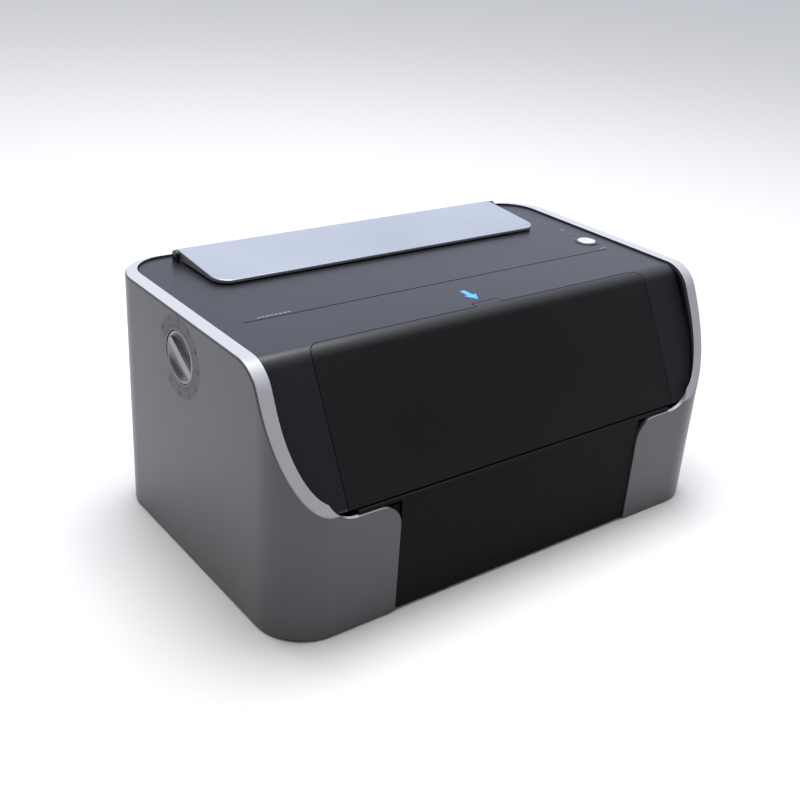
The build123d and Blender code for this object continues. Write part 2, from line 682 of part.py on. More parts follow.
FRAME_TOP = SHAFT_Z + 16.0
FRAME_Y = (FRONT + 77.5, BACK - 22.5)
BUSH_WALL = 3.0
BUSH_STEP = 1.5
LUG_LOW = BEAM_Z - 32.0
LUG_HIGH = BEAM_Z + 40.0

for side, word in ((-1, "left"), (1, "right")):
    with BuildPart() as frame_plate:
        plate = mirrored(side, FRAME_X, FRAME_X + FRAME_T)
        block(plate, FRAME_Y, (PAN_TOP, FRAME_TOP))
        block(mirrored(side, FRAME_X - 18, FRAME_X), FRAME_Y, (PAN_TOP, PAN_TOP + 2))
        for window in ((FRAME_Y[0] + 15, -35.0), (45.0, FRAME_Y[1] - 18)):
            block(plate, window, (58, BEAM_Z - 45), Mode.SUBTRACT)
        bar("x", (SHAFT_Y, SHAFT_Z), SHAFT_R + BUSH_WALL + RUN, plate, Mode.SUBTRACT)
    frame_plate.part.label = f"{word}_frame_plate"
    export_step(frame_plate.part, f"parts/{word}_frame_plate.step")

LUG_T = 6.0
LUG_HALF = 7.0

with BuildPart() as guide_lugs:
    for side in (-1, 1):
        for lug in (LUG_LOW, LUG_HIGH):
            block(mirrored(side, FRAME_X - 15, FRAME_X), (GUIDE_Y - LUG_HALF, GUIDE_Y + LUG_HALF),
                  (lug, lug + LUG_T))
            bar("z", (side * GUIDE_X, GUIDE_Y), GUIDE_R + RUN, (lug - 1, lug + LUG_T + 1),
                Mode.SUBTRACT)
guide_lugs.part.label = "guide_lugs"
export_step(guide_lugs.part, "parts/guide_lugs.step")

with BuildPart() as guide_rods:
    for side in (-1, 1):
        bar("z", (side * GUIDE_X, GUIDE_Y), GUIDE_R, (LUG_LOW, LUG_HIGH + LUG_T))
guide_rods.part.label = "guide_rods"
export_step(guide_rods.part, "parts/guide_rods.step")

with BuildPart() as shaft_bushings:
    for side in (-1, 1):
        place = (SHAFT_Y, SHAFT_Z)
        bush_end = FRAME_X + FRAME_T + BUSH_STEP
        bar("x", place, SHAFT_R + BUSH_WALL, mirrored(side, FRAME_X - BUSH_STEP, bush_end))
        bar("x", place, SHAFT_R + BUSH_WALL + BUSH_STEP,
            mirrored(side, FRAME_X + FRAME_T, bush_end))
        bar("x", place, SHAFT_R + RUN, mirrored(side, FRAME_X - 2, bush_end + 1), Mode.SUBTRACT)
shaft_bushings.part.label = "shaft_bushings"
export_step(shaft_bushings.part, "parts/shaft_bushings.step")

HUB_R = 9.0
HUB_END = HALF_W - 16.0
DIAL_T = 7.6
LIP_T = 2.2
BOWL_D = 5.0
BOWL_FLOOR_R = 9.0
GRIP_TILT = 31.0
GRIP_W = 8.4
DIAL_AXIS = Axis((0, SHAFT_Y, SHAFT_Z), (1, 0, 0))

with BuildPart() as height_dial:
    face_x = -HALF_W + 0.4
    place = (SHAFT_Y, SHAFT_Z)
    disc_r = DIAL_R - 0.5
    lip_r = disc_r - LIP_T
    # Half of the dished disc, turned round the shaft; the grip bar then crosses its bowl.
    with BuildSketch(Plane.XZ.offset(-SHAFT_Y)) as half_disc:
        with BuildLine():
            bowl = ThreePointArc(
                (face_x, SHAFT_Z + lip_r),
                (face_x + 0.62 * BOWL_D, SHAFT_Z + 0.72 * lip_r + 0.28 * BOWL_FLOOR_R),
                (face_x + BOWL_D, SHAFT_Z + BOWL_FLOOR_R),
            )
            Polyline(
                bowl @ 1,
                (face_x + BOWL_D, SHAFT_Z),
                (face_x + DIAL_T, SHAFT_Z),
                (face_x + DIAL_T, SHAFT_Z + disc_r),
                (face_x, SHAFT_Z + disc_r),
                bowl @ 0,
            )
        make_face()
        corner = half_disc.vertices().sort_by_distance((face_x, SHAFT_Z + disc_r))[0]
        fillet(corner, radius=1.0)
    revolve(axis=DIAL_AXIS)
    with BuildSketch(Plane.YZ.offset(face_x + 0.1)):
        with Locations(Location((SHAFT_Y, SHAFT_Z, 0), (0, 0, GRIP_TILT))):
            RectangleRounded(2 * DIAL_R - 5, GRIP_W, 3.4)
    extrude(amount=DIAL_T - 1, taper=-6)
    bar("x", place, HUB_R, (face_x + DIAL_T, -HUB_END))
    bar("x", place, SHAFT_R + RUN, (-HUB_END - 7, -HUB_END + 1), Mode.SUBTRACT)
height_dial.part.label = "height_dial"
export_step(height_dial.part, "parts/height_dial.step")

with BuildPart() as dial_shaft:
    bar("x", place, SHAFT_R, (-HUB_END - 6.5, FRAME_X + 5))
dial_shaft.part.label = "dial_shaft"
export_step(dial_shaft.part, "parts/dial_shaft.step")

CAM_X = GUIDE_X
CAM_HALF = 4.0
CAM_START = 110.0
CAM_END = -205.0
CAM_STEPS = 21


def cam_point(angle):
    """Point of the snail at one angle: the radius grows evenly as the angle falls."""
    radius = CAM_LOW + CAM_RISE * (90 - angle) / CAM_TURN
    turn = radians(angle)
    return (SHAFT_Y + radius * cos(turn), SHAFT_Z + radius * sin(turn))


with BuildPart() as lift_cams:
    angles = [CAM_START + (CAM_END - CAM_START) * i / CAM_STEPS for i in range(CAM_STEPS + 1)]
    for side in (-1, 1):
        with BuildSketch(Plane.YZ.offset(side * CAM_X - CAM_HALF)):
            with BuildLine():
                snail = Spline(*[cam_point(angle) for angle in angles])
                Line(snail @ 1, snail @ 0)
            make_face()
            with Locations(place):
                Circle(SHAFT_R + RUN, mode=Mode.SUBTRACT)
        extrude(amount=2 * CAM_HALF)
lift_cams.part.label = "lift_cams"
export_step(lift_cams.part, "parts/lift_cams.step")

# ---------------------------------------------------------------- gantry beam

PAD_Z = SHAFT_Z + CAM_LOW + CAM_GAP
BEAM_TOP = BEAM_Z + BEAM_H
RAIL_Z = (BEAM_Z + 7, BEAM_Z + 17)
RAIL_Y = (BEAM_FRONT - 8, BEAM_FRONT)
BUSH_R = GUIDE_R + 2
AXLE_R = 2.5

with BuildPart() as gantry_beam:
    block((-BEAM_HALF, BEAM_HALF), (BEAM_FRONT, BEAM_FRONT + BEAM_DEEP), (BEAM_Z, BEAM_TOP))
    block((-BEAM_HALF, BEAM_HALF), (BEAM_FRONT + 2, BEAM_FRONT + BEAM_DEEP - 2),
          (BEAM_Z + 2, BEAM_TOP - 2), Mode.SUBTRACT)
gantry_beam.part.label = "gantry_beam"
export_step(gantry_beam.part, "parts/gantry_beam.step")

with BuildPart() as beam_brackets:
    for side in (-1, 1):
        block(mirrored(side, BEAM_HALF, BEAM_HALF + 4), (GUIDE_Y - 7.5, SHAFT_Y + 12.5),
              (PLATE_Z, PAD_Z + 4))
        block(mirrored(side, BEAM_HALF + 3, GUIDE_X + CAM_HALF),
              (SHAFT_Y - 7.5, SHAFT_Y + 7.5), (PAD_Z, PAD_Z + 4))
        block(mirrored(side, BEAM_HALF + 3, FRAME_X - 1), (GUIDE_Y - 7.5, GUIDE_Y + 7.5),
              (BEAM_Z, BEAM_Z + 22))
        block(mirrored(side, MOTOR_X - 22, BEAM_HALF + 1), (MOTOR_Y - 20, MOTOR_Y + 20),
              (PLATE_Z, PLATE_Z + 3))
        # The dial shaft passes through a slot as long as the lift.
        slot_x = mirrored(side, BEAM_HALF - 1, BEAM_HALF + 5)
        block(slot_x, (SHAFT_Y - 5, SHAFT_Y + 5),
              (SHAFT_Z - CAM_RISE - 5, SHAFT_Z + 5.5), Mode.SUBTRACT)
        bar("z", (side * GUIDE_X, GUIDE_Y), BUSH_R + RUN, (BEAM_Z - 1, BEAM_TOP), Mode.SUBTRACT)
    bar("z", (-MOTOR_X, MOTOR_Y), 11.5, (PLATE_Z - 1, PLATE_Z + 4), Mode.SUBTRACT)
    bar("z", (MOTOR_X, MOTOR_Y), AXLE_R, (PLATE_Z, PLATE_Z + 15))
    bar("z", (MOTOR_X, MOTOR_Y), AXLE_R + 2, (PLATE_Z + 2, PLATE_Z + 3.8))
beam_brackets.part.label = "beam_brackets"
export_step(beam_brackets.part, "parts/beam_brackets.step")

with BuildPart() as beam_bushings:
    for side in (-1, 1):
        place = (side * GUIDE_X, GUIDE_Y)
        bar("z", place, BUSH_R, (BEAM_Z - 4, BEAM_TOP))
        bar("z", place, GUIDE_R + RUN, (BEAM_Z - 5, BEAM_TOP + 1), Mode.SUBTRACT)
beam_bushings.part.label = "beam_bushings"
export_step(beam_bushings.part, "parts/beam_bushings.step")

with BuildPart() as carriage_rail:
    block((-BEAM_HALF + 8, BEAM_HALF - 8), RAIL_Y, RAIL_Z)
    for edge in (RAIL_Z[0] + 3, RAIL_Z[1] - 5):
        block((-BEAM_HALF, BEAM_HALF), (RAIL_Y[0], RAIL_Y[0] + 0.8), (edge, edge + 2),
              Mode.SUBTRACT)
carriage_rail.part.label = "carriage_rail"
export_step(carriage_rail.part, "parts/carriage_rail.step")

with BuildPart() as encoder_strip:
    block((-BEAM_HALF, BEAM_HALF), (BEAM_Y - 1, BEAM_Y - 0.4), (BEAM_TOP + 2, BEAM_TOP + 10))
encoder_strip.part.label = "encoder_strip"
export_step(encoder_strip.part, "parts/encoder_strip.step")

with BuildPart() as x_motor:
    with BuildSketch(Plane.XY.offset(PLATE_Z - 39)) as can:
        with Locations((-MOTOR_X, MOTOR_Y)):
            Rectangle(42, 42)
        chamfer(can.vertices(), length=4)
    extrude(amount=39)
    bar("z", (-MOTOR_X, MOTOR_Y), 11, (PLATE_Z, PLATE_Z + 2))
    bar("z", (-MOTOR_X, MOTOR_Y), AXLE_R, (PLATE_Z, PLATE_Z + 15))
x_motor.part.label = "x_motor"
export_step(x_motor.part, "parts/x_motor.step")

for side, word in ((-1, "drive"), (1, "idler")):
    with BuildPart() as pulley:
        place = (side * MOTOR_X, MOTOR_Y)
        bar("z", place, PULLEY_R, (BELT_Z - 2, BELT_Z + 8))
        bar("z", place, PULLEY_R + 3, (BELT_Z - 2, BELT_Z - 0.4))
        bar("z", place, PULLEY_R + 3, (BELT_Z + 6.4, BELT_Z + 8))
        bar("z", place, AXLE_R + RUN, (BELT_Z - 3, BELT_Z + 9), Mode.SUBTRACT)
    pulley.part.label = f"{word}_pulley"
    export_step(pulley.part, f"parts/{word}_pulley.step")

with BuildPart() as x_belt:
    with BuildSketch(Plane.XY.offset(BELT_Z)):
        with Locations((0, MOTOR_Y)):
            SlotCenterToCenter(2 * MOTOR_X, 2 * (PULLEY_R + 0.3 + BELT_T))
            SlotCenterToCenter(2 * MOTOR_X, 2 * (PULLEY_R + 0.3), mode=Mode.SUBTRACT)
    extrude(amount=6)
x_belt.part.label = "x_belt"
export_step(x_belt.part, "parts/x_belt.step")

# ---------------------------------------------------------------- carriage, parked at the right

BODY_Y = (HEAD_Y - 16, HEAD_Y + 18)
BODY_Z = (HEAD_Z + 16, BEAM_TOP)
BODY_HALF = 34.0
WALL = 2.5

with BuildPart() as carriage_body:
    block((PARK_X - BODY_HALF, PARK_X + BODY_HALF), BODY_Y, BODY_Z)
    upright = carriage_body.edges().filter_by(Axis.Z).group_by(Axis.Y)[0]
    fillet(upright, radius=4)
    block((PARK_X - BODY_HALF + WALL, PARK_X + BODY_HALF - WALL),
          (BODY_Y[0] + WALL, BODY_Y[1] - WALL), (BODY_Z[0] + 3, BODY_Z[1] + 1), Mode.SUBTRACT)
    block((PARK_X - 16.3, PARK_X + 16.3), (HEAD_Y - 12.3, HEAD_Y + 12.3),
          (BODY_Z[0] - 1, BODY_Z[0] + 4), Mode.SUBTRACT)
carriage_body.part.label = "carriage_body"
export_step(carriage_body.part, "parts/carriage_body.step")

with BuildPart() as print_head:
    block((PARK_X - 16, PARK_X + 16), (HEAD_Y - 12, HEAD_Y + 12), (HEAD_Z + 4, HEAD_Z + 30))
    block((PARK_X - 12, PARK_X + 12), (HEAD_Y - 8, HEAD_Y + 8), (HEAD_Z, HEAD_Z + 5))
    block((PARK_X - 20, PARK_X + 20), (HEAD_Y - 12, HEAD_Y + 12), (HEAD_Z + 19, HEAD_Z + 21))
print_head.part.label = "print_head"
export_step(print_head.part, "parts/print_head.step")

with BuildPart() as ink_dampers:
    with Locations((PARK_X, HEAD_Y, HEAD_Z + 31)):
        with GridLocations(18, 14, 3, 2):
            Box(14, 10, 34, align=(Align.CENTER, Align.CENTER, Align.MIN))
            with Locations((0, 0, 34)):
                Cylinder(2, 4, align=(Align.CENTER, Align.CENTER, Align.MIN))
ink_dampers.part.label = "ink_dampers"
export_step(ink_dampers.part, "parts/ink_dampers.step")

with BuildPart() as carriage_bearing:
    block((PARK_X - 22, PARK_X + 22), (BODY_Y[1], RAIL_Y[1] - 3), (BEAM_Z + 2, BEAM_Z + 22))
    block((PARK_X - 23, PARK_X + 23), (RAIL_Y[0] - 0.4, RAIL_Y[1]),
          (RAIL_Z[0] - 0.4, RAIL_Z[1] + 0.4), Mode.SUBTRACT)
carriage_bearing.part.label = "carriage_bearing"
export_step(carriage_bearing.part, "parts/carriage_bearing.step")

RUN_Y = MOTOR_Y - PULLEY_R - 0.3

with BuildPart() as belt_clamp:
    block((PARK_X - 8, PARK_X + 8), (BODY_Y[1], RUN_Y - BELT_T - 0.4),
          (BELT_Z - 2.5, BELT_Z + 10))
    block((PARK_X - 8, PARK_X + 8), (BODY_Y[1], RUN_Y + 3), (BELT_Z + 6.5, BELT_Z + 10))
    block((PARK_X - 8, PARK_X + 8), (RUN_Y + 0.4, RUN_Y + 3), (BELT_Z - 1, BELT_Z + 10))
belt_clamp.part.label = "belt_clamp"
export_step(belt_clamp.part, "parts/belt_clamp.step")

LAMP_X = (PARK_X - BODY_HALF - 28, PARK_X - BODY_HALF)
LAMP_Y = (HEAD_Y - 14, HEAD_Y + 14)
LAMP_Z = (HEAD_Z + 4, HEAD_Z + 38)

with BuildPart() as uv_lamp:
    block(LAMP_X, LAMP_Y, LAMP_Z)
    block((LAMP_X[0] + 2, LAMP_X[1] - 2), (LAMP_Y[0] + 2, LAMP_Y[1] - 2),
          (LAMP_Z[0] - 1, LAMP_Z[1] - 4), Mode.SUBTRACT)
uv_lamp.part.label = "uv_lamp"
export_step(uv_lamp.part, "parts/uv_lamp.step")

with BuildPart() as lamp_window:
    block((LAMP_X[0] + 2, LAMP_X[1] - 2), (LAMP_Y[0] + 2, LAMP_Y[1] - 2),
          (LAMP_Z[0], LAMP_Z[0] + 2))
lamp_window.part.label = "lamp_window"
export_step(lamp_window.part, "parts/lamp_window.step")

with BuildPart() as lamp_heat_sink:
    block((LAMP_X[0] + 1, LAMP_X[1] - 1), (LAMP_Y[0] + 1, LAMP_Y[1] - 1),
          (LAMP_Z[1], LAMP_Z[1] + 4))
    with Locations((sum(LAMP_X) / 2, HEAD_Y, LAMP_Z[1] + 3)):
        with GridLocations(3.2, 1, 8, 1):
            Box(1.4, 26, 22, align=(Align.CENTER, Align.CENTER, Align.MIN))
lamp_heat_sink.part.label = "lamp_heat_sink"
export_step(lamp_heat_sink.part, "parts/lamp_heat_sink.step")

# ---------------------------------------------------------------- print bed

BUSH_Y = 35.0
BUSH_HALF = 12.0
BUSH_WALL = 4.0
DECK_Z = (ROD_Z + ROD_R + BUSH_WALL + 2, ROD_Z + ROD_R + BUSH_WALL + 8)
BED_LOW = BED_TOP - BED_T

with BuildPart() as bed_plate:
    with BuildSketch(Plane.XY.offset(BED_LOW)):
        with Locations((0, BED_Y)):
            RectangleRounded(BED_WIDTH, BED_DEPTH, 5)
    extrude(amount=BED_T)
    top_edges = bed_plate.faces().sort_by(Axis.Z)[-1].edges()
    chamfer(top_edges, length=0.8)
    # Countersunk holes for the four levelling screws.
    with Locations((0, BED_Y, BED_TOP)):
        with GridLocations(BED_WIDTH - 30, BED_DEPTH - 30, 2, 2):
            CounterSinkHole(2.2, 4.2)
bed_plate.part.label = "bed_plate"
export_step(bed_plate.part, "parts/bed_plate.step")

with BuildPart() as bed_carriage:
    block((-ROD_SPREAD - 16, ROD_SPREAD + 16), (BED_Y - 50, BED_Y + 50), DECK_Z)
    block((-60, 60), (BED_Y - 34, BED_Y + 34), (DECK_Z[0] - 1, DECK_Z[1] + 1), Mode.SUBTRACT)
    block((-16, 16), (BED_Y - 35, BED_Y + 35), DECK_Z)
    with Locations((0, BED_Y, DECK_Z[1] - 1)):
        with GridLocations(2 * ROD_SPREAD, 84, 2, 2):
            Cylinder(6, BED_LOW - DECK_Z[1] + 1, align=(Align.CENTER, Align.CENTER, Align.MIN))
bed_carriage.part.label = "bed_carriage"
export_step(bed_carriage.part, "parts/bed_carriage.step")

with BuildPart() as bed_bushings:
    for x in (-ROD_SPREAD, ROD_SPREAD):
        for y in (BED_Y - BUSH_Y, BED_Y + BUSH_Y):
            block((x - 11, x + 11), (y - BUSH_HALF, y + BUSH_HALF), (ROD_Z - 10, DECK_Z[0]))
            bar("y", (x, ROD_Z), ROD_R + RUN, (y - BUSH_HALF, y + BUSH_HALF), Mode.SUBTRACT)
bed_bushings.part.label = "bed_bushings"
export_step(bed_bushings.part, "parts/bed_bushings.step")

with BuildPart() as screw_nut:
    block((-13, 13), (BED_Y - 9, BED_Y + 9), (SCREW_Z - 10, DECK_Z[0]))
    bar("y", (0, SCREW_Z), SCREW_R + RUN, (BED_Y - 10, BED_Y + 10), Mode.SUBTRACT)
screw_nut.part.label = "screw_nut"
export_step(screw_nut.part, "parts/screw_nut.step")

with BuildPart() as bed_end_plates:
    for y in (END_FRONT_Y, END_REAR_Y):
        span = (y, y + END_PLATE_T)
        block((-ROD_SPREAD - 14, ROD_SPREAD + 14), span, (PAN_TOP, DECK_Z[0] - 0.6))
        for side in (-1, 1):
            block(mirrored(side, 28, ROD_SPREAD - 12), span, (20, ROD_Z + 2), Mode.SUBTRACT)
            bar("y", (side * ROD_SPREAD, ROD_Z), ROD_R + RUN, span, Mode.SUBTRACT)
        bore = SCREW_R + RUN if y == END_FRONT_Y else 11.5
        bar("y", (0, SCREW_Z), bore, span, Mode.SUBTRACT)
bed_end_plates.part.label = "bed_end_plates"
export_step(bed_end_plates.part, "parts/bed_end_plates.step")

with BuildPart() as bed_rods:
    for x in (-ROD_SPREAD, ROD_SPREAD):
        bar("y", (x, ROD_Z), ROD_R, (END_FRONT_Y, END_REAR_Y + END_PLATE_T))
bed_rods.part.label = "bed_rods"
export_step(bed_rods.part, "parts/bed_rods.step")

COUPLER_Y = (END_REAR_Y - 20, END_REAR_Y - 3)

with BuildPart() as bed_screw:
    bar("y", (0, SCREW_Z), SCREW_R, (END_FRONT_Y + 0.5, COUPLER_Y[0] + 8))
bed_screw.part.label = "bed_screw"
export_step(bed_screw.part, "parts/bed_screw.step")

with BuildPart() as shaft_coupler:
    bar("y", (0, SCREW_Z), 9, COUPLER_Y)
    bar("y", (0, SCREW_Z), SCREW_R, (COUPLER_Y[0] - 1, COUPLER_Y[0] + 8), Mode.SUBTRACT)
    bar("y", (0, SCREW_Z), AXLE_R + RUN, (COUPLER_Y[0] + 7, COUPLER_Y[1] + 1), Mode.SUBTRACT)
shaft_coupler.part.label = "shaft_coupler"
export_step(shaft_coupler.part, "parts/shaft_coupler.step")

with BuildPart() as bed_motor:
    motor_y = END_REAR_Y + END_PLATE_T
    with BuildSketch(Plane.XZ.offset(-motor_y)) as can:
        with Locations((0, SCREW_Z)):
            Rectangle(42, 42)
        chamfer(can.vertices(), length=4)
    extrude(amount=-38)
    bar("y", (0, SCREW_Z), 11, (motor_y - 2, motor_y))
    bar("y", (0, SCREW_Z), AXLE_R, (COUPLER_Y[0] + 10, motor_y))
bed_motor.part.label = "bed_motor"
export_step(bed_motor.part, "parts/bed_motor.step")

# ---------------------------------------------------------------- capping station and waste

CAP_X = (PARK_X - 24, PARK_X + 34)
CAP_Y = (HEAD_Y - 18, HEAD_Y + 16)
CAP_Z = HEAD_Z - 12.0

with BuildPart() as capping_station:
    block(CAP_X, CAP_Y, (PAN_TOP, CAP_Z))
    block((CAP_X[0] + 3, CAP_X[1] - 3), (CAP_Y[0] + 3, CAP_Y[1] + 1), (20, CAP_Z - 14),
          Mode.SUBTRACT)
    block((PARK_X - 15, PARK_X + 15), (HEAD_Y - 11, HEAD_Y + 11), (CAP_Z - 6, CAP_Z + 1),
          Mode.SUBTRACT)
capping_station.part.label = "capping_station"
export_step(capping_station.part, "parts/capping_station.step")

with BuildPart() as cap_and_wiper:
    block((PARK_X - 15, PARK_X + 15), (HEAD_Y - 11, HEAD_Y + 11), (CAP_Z - 6, HEAD_Z - 1.5))
    block((PARK_X - 12.5, PARK_X + 12.5), (HEAD_Y - 8.5, HEAD_Y + 8.5), (CAP_Z - 2, HEAD_Z),
          Mode.SUBTRACT)
    block((CAP_X[0] + 2, CAP_X[0] + 3.6), (HEAD_Y - 11, HEAD_Y + 11), (CAP_Z, HEAD_Z - 0.8))
cap_and_wiper.part.label = "cap_and_wiper"
export_step(cap_and_wiper.part, "parts/cap_and_wiper.step")

with BuildPart() as waste_tank:
    block((BOARD_X[0] + 12, BOARD_X[1] - 8), (CAP_Y[1] + 11, BOARD_Y[0] - 8), (PAN_TOP, 42))
    fillet(waste_tank.edges().filter_by(Axis.Z), radius=5)
    offset(amount=-2, openings=waste_tank.faces().sort_by(Axis.Z)[-1])
waste_tank.part.label = "waste_tank"
export_step(waste_tank.part, "parts/waste_tank.step")

# ---------------------------------------------------------------- electronics and sockets

with BuildPart() as power_supply:
    block(SUPPLY_X, SUPPLY_Y, (PAN_TOP, 50))
    block((SUPPLY_X[0] + 1.2, SUPPLY_X[1] - 1.2), (SUPPLY_Y[0] + 1.2, SUPPLY_Y[1] - 1.2),
          (PAN_TOP - 1, 48.8), Mode.SUBTRACT)
    with Locations((sum(SUPPLY_X) / 2, sum(SUPPLY_Y) / 2, 49)):
        with GridLocations(18, 9, 4, 12):
            Box(13, 3, 4, mode=Mode.SUBTRACT)
power_supply.part.label = "power_supply"
export_step(power_supply.part, "parts/power_supply.step")

with BuildPart() as main_board:
    top = MAIN_Z + 1.6
    block(BOARD_X, BOARD_Y, (MAIN_Z, top))
    block((BOARD_X[0] + 30, BOARD_X[0] + 58), (BOARD_Y[0] + 22, BOARD_Y[0] + 50), (top, top + 3))
    with Locations((BOARD_X[0] + 82, BOARD_Y[0] + 18, top)):
        with GridLocations(12, 12, 3, 2):
            Cylinder(4, 12, align=(Align.CENTER, Align.CENTER, Align.MIN))
    for slot in range(4):
        y = BOARD_Y[0] + 14 + slot * 15
        block((BOARD_X[0] + 3, BOARD_X[0] + 9), (y, y + 11), (top, top + 8))
    block((BOARD_X[0] + 66, BOARD_X[0] + 96), (BOARD_Y[0] + 44, BOARD_Y[0] + 56),
          (top, top + 16))
main_board.part.label = "main_board"
export_step(main_board.part, "parts/main_board.step")

FAN_Y = (BACK - 28.5, BACK - REAR_T - 0.2)
FAN_AXIS = (FAN_X, FAN_Z)

with BuildPart() as fan_housing:
    block((FAN_X - FAN_HALF, FAN_X + FAN_HALF), FAN_Y, (FAN_Z - FAN_HALF, FAN_Z + FAN_HALF))
    fillet(fan_housing.edges().filter_by(Axis.Y), radius=4)
    bar("y", FAN_AXIS, FAN_HALF - 2, (FAN_Y[0] - 1, FAN_Y[1] + 1), Mode.SUBTRACT)
    bar("y", FAN_AXIS, 14, (FAN_Y[0], FAN_Y[0] + 3))
    block((FAN_X - FAN_HALF + 1, FAN_X + FAN_HALF - 1), (FAN_Y[0], FAN_Y[0] + 3),
          (FAN_Z - 1.5, FAN_Z + 1.5))
    block((FAN_X - 1.5, FAN_X + 1.5), (FAN_Y[0], FAN_Y[0] + 3),
          (FAN_Z - FAN_HALF + 1, FAN_Z + FAN_HALF - 1))
    bar("y", FAN_AXIS, AXLE_R, (FAN_Y[0], FAN_Y[0] + 14))
fan_housing.part.label = "fan_housing"
export_step(fan_housing.part, "parts/fan_housing.step")

ROTOR_Y = (FAN_Y[0] + 4.5, FAN_Y[1] - 1.5)
BLADES = 7

with BuildPart() as fan_rotor:
    bar("y", FAN_AXIS, 15, ROTOR_Y)
    with BuildPart(mode=Mode.PRIVATE) as blade:
        with Locations(Location((0, 0, 24.5), (0, 0, 38))):
            Box(1.6, 20, 22)
    for turn in range(BLADES):
        spun = blade.part.rotate(Axis.Y, 360 * turn / BLADES)
        add(spun.translate((FAN_X, (ROTOR_Y[0] + ROTOR_Y[1]) / 2, FAN_Z)))
    with BuildSketch(Plane.XZ.offset(-FAN_Y[0] - 4.5)):
        with Locations(FAN_AXIS):
            Circle(FAN_HALF - 3.4)
    extrude(amount=-(ROTOR_Y[1] - ROTOR_Y[0]), mode=Mode.INTERSECT)
    bar("y", FAN_AXIS, AXLE_R + RUN, (FAN_Y[0], FAN_Y[0] + 15), Mode.SUBTRACT)
fan_rotor.part.label = "fan_rotor"
export_step(fan_rotor.part, "parts/fan_rotor.step")

SOCKET_FACE = BACK - 1.0
LAP_FACE = BACK - REAR_T - 0.2
ROCKER_Y = BACK - 6.5
ROCKER_TILT = 6.0


def socket_body(x, half, deep, flange):
    """A moulded block through the rear panel with a lap flange behind the panel."""
    block((x - half[0], x + half[0]), (BACK - deep, SOCKET_FACE),
          (INLET_Z - half[1], INLET_Z + half[1]))
    block((x - half[0] - flange, x + half[0] + flange), (LAP_FACE - 3, LAP_FACE),
          (INLET_Z - half[1] - flange, INLET_Z + half[1] + flange))


with BuildPart() as power_inlet:
    socket_body(INLET_X, INLET_HALF, 25, 4)
    block((INLET_X - 11, INLET_X + 11), (BACK - 17, BACK), (INLET_Z - 7.5, INLET_Z + 7.5),
          Mode.SUBTRACT)
    for x, z in ((-7, -2), (0, 2), (7, -2)):
        block((INLET_X + x - 1, INLET_X + x + 1), (BACK - 18, BACK - 4),
              (INLET_Z + z - 2, INLET_Z + z + 2))
    socket_body(SWITCH_X, SWITCH_HALF, 22, 4)
    block((SWITCH_X - 5.8, SWITCH_X + 5.8), (BACK - 14, BACK), (INLET_Z - 9.3, INLET_Z + 9.3),
          Mode.SUBTRACT)
    bar("x", (ROCKER_Y, INLET_Z), 1.2 + RUN, (SWITCH_X - 6.8, SWITCH_X + 6.8), Mode.SUBTRACT)
    # One moulding joins the inlet and its switch behind the panel.
    block((SWITCH_X + 8, INLET_X - 15), (LAP_FACE - 3, LAP_FACE), (INLET_Z - 10, INLET_Z + 10))
power_inlet.part.label = "power_inlet"
export_step(power_inlet.part, "parts/power_inlet.step")

with BuildPart() as rocker_switch:
    with BuildSketch(Plane.YZ.offset(SWITCH_X - 5.5)):
        with Locations(Location((ROCKER_Y, INLET_Z, 0), (0, 0, ROCKER_TILT))):
            Rectangle(9, 17)
    extrude(amount=11)
    bar("x", (ROCKER_Y, INLET_Z), 1.2, (SWITCH_X - 6.7, SWITCH_X + 6.7))
rocker_switch.part.label = "rocker_switch"
export_step(rocker_switch.part, "parts/rocker_switch.step")

with BuildPart() as usb_socket:
    socket_body(USB_X, USB_HALF, 18, 3)
    block((USB_X - 4.3, USB_X + 4.3), (BACK - 13, BACK), (INLET_Z - 4, INLET_Z + 4),
          Mode.SUBTRACT)
    block((USB_X - 2.6, USB_X + 2.6), (BACK - 14, BACK - 4), (INLET_Z - 1.5, INLET_Z + 1.5))
usb_socket.part.label = "usb_socket"
export_step(usb_socket.part, "parts/usb_socket.step")

print("bed travel", round(BED_TRAVEL, 3), "carriage travel", round(2 * PARK_X, 3))
print("lift ratio", round(CAM_RISE / 1000 / radians(CAM_TURN), 6), "m/rad")
print("door axis", HINGE_Y, HINGE_Z, "lid axis", LID_AXIS_Y, LID_AXIS_Z)
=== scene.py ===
# %% [markdown]
# # A desktop flatbed UV printer
# The engineering model of the printer is already made, at its real size: every panel, shaft and
# board is a separate node, and each node belongs to a body that moves. This notebook dresses that
# model. It gives every node the finish of its real material, and adds the thin and printed pieces
# that the engineering model leaves out. Everything is in metres, on the floor at z = 0, and the
# front of the machine faces -Y.

# %% Load the fixed frame
import json
import math

import bpy
import numpy as np
from mathutils import Matrix, Vector


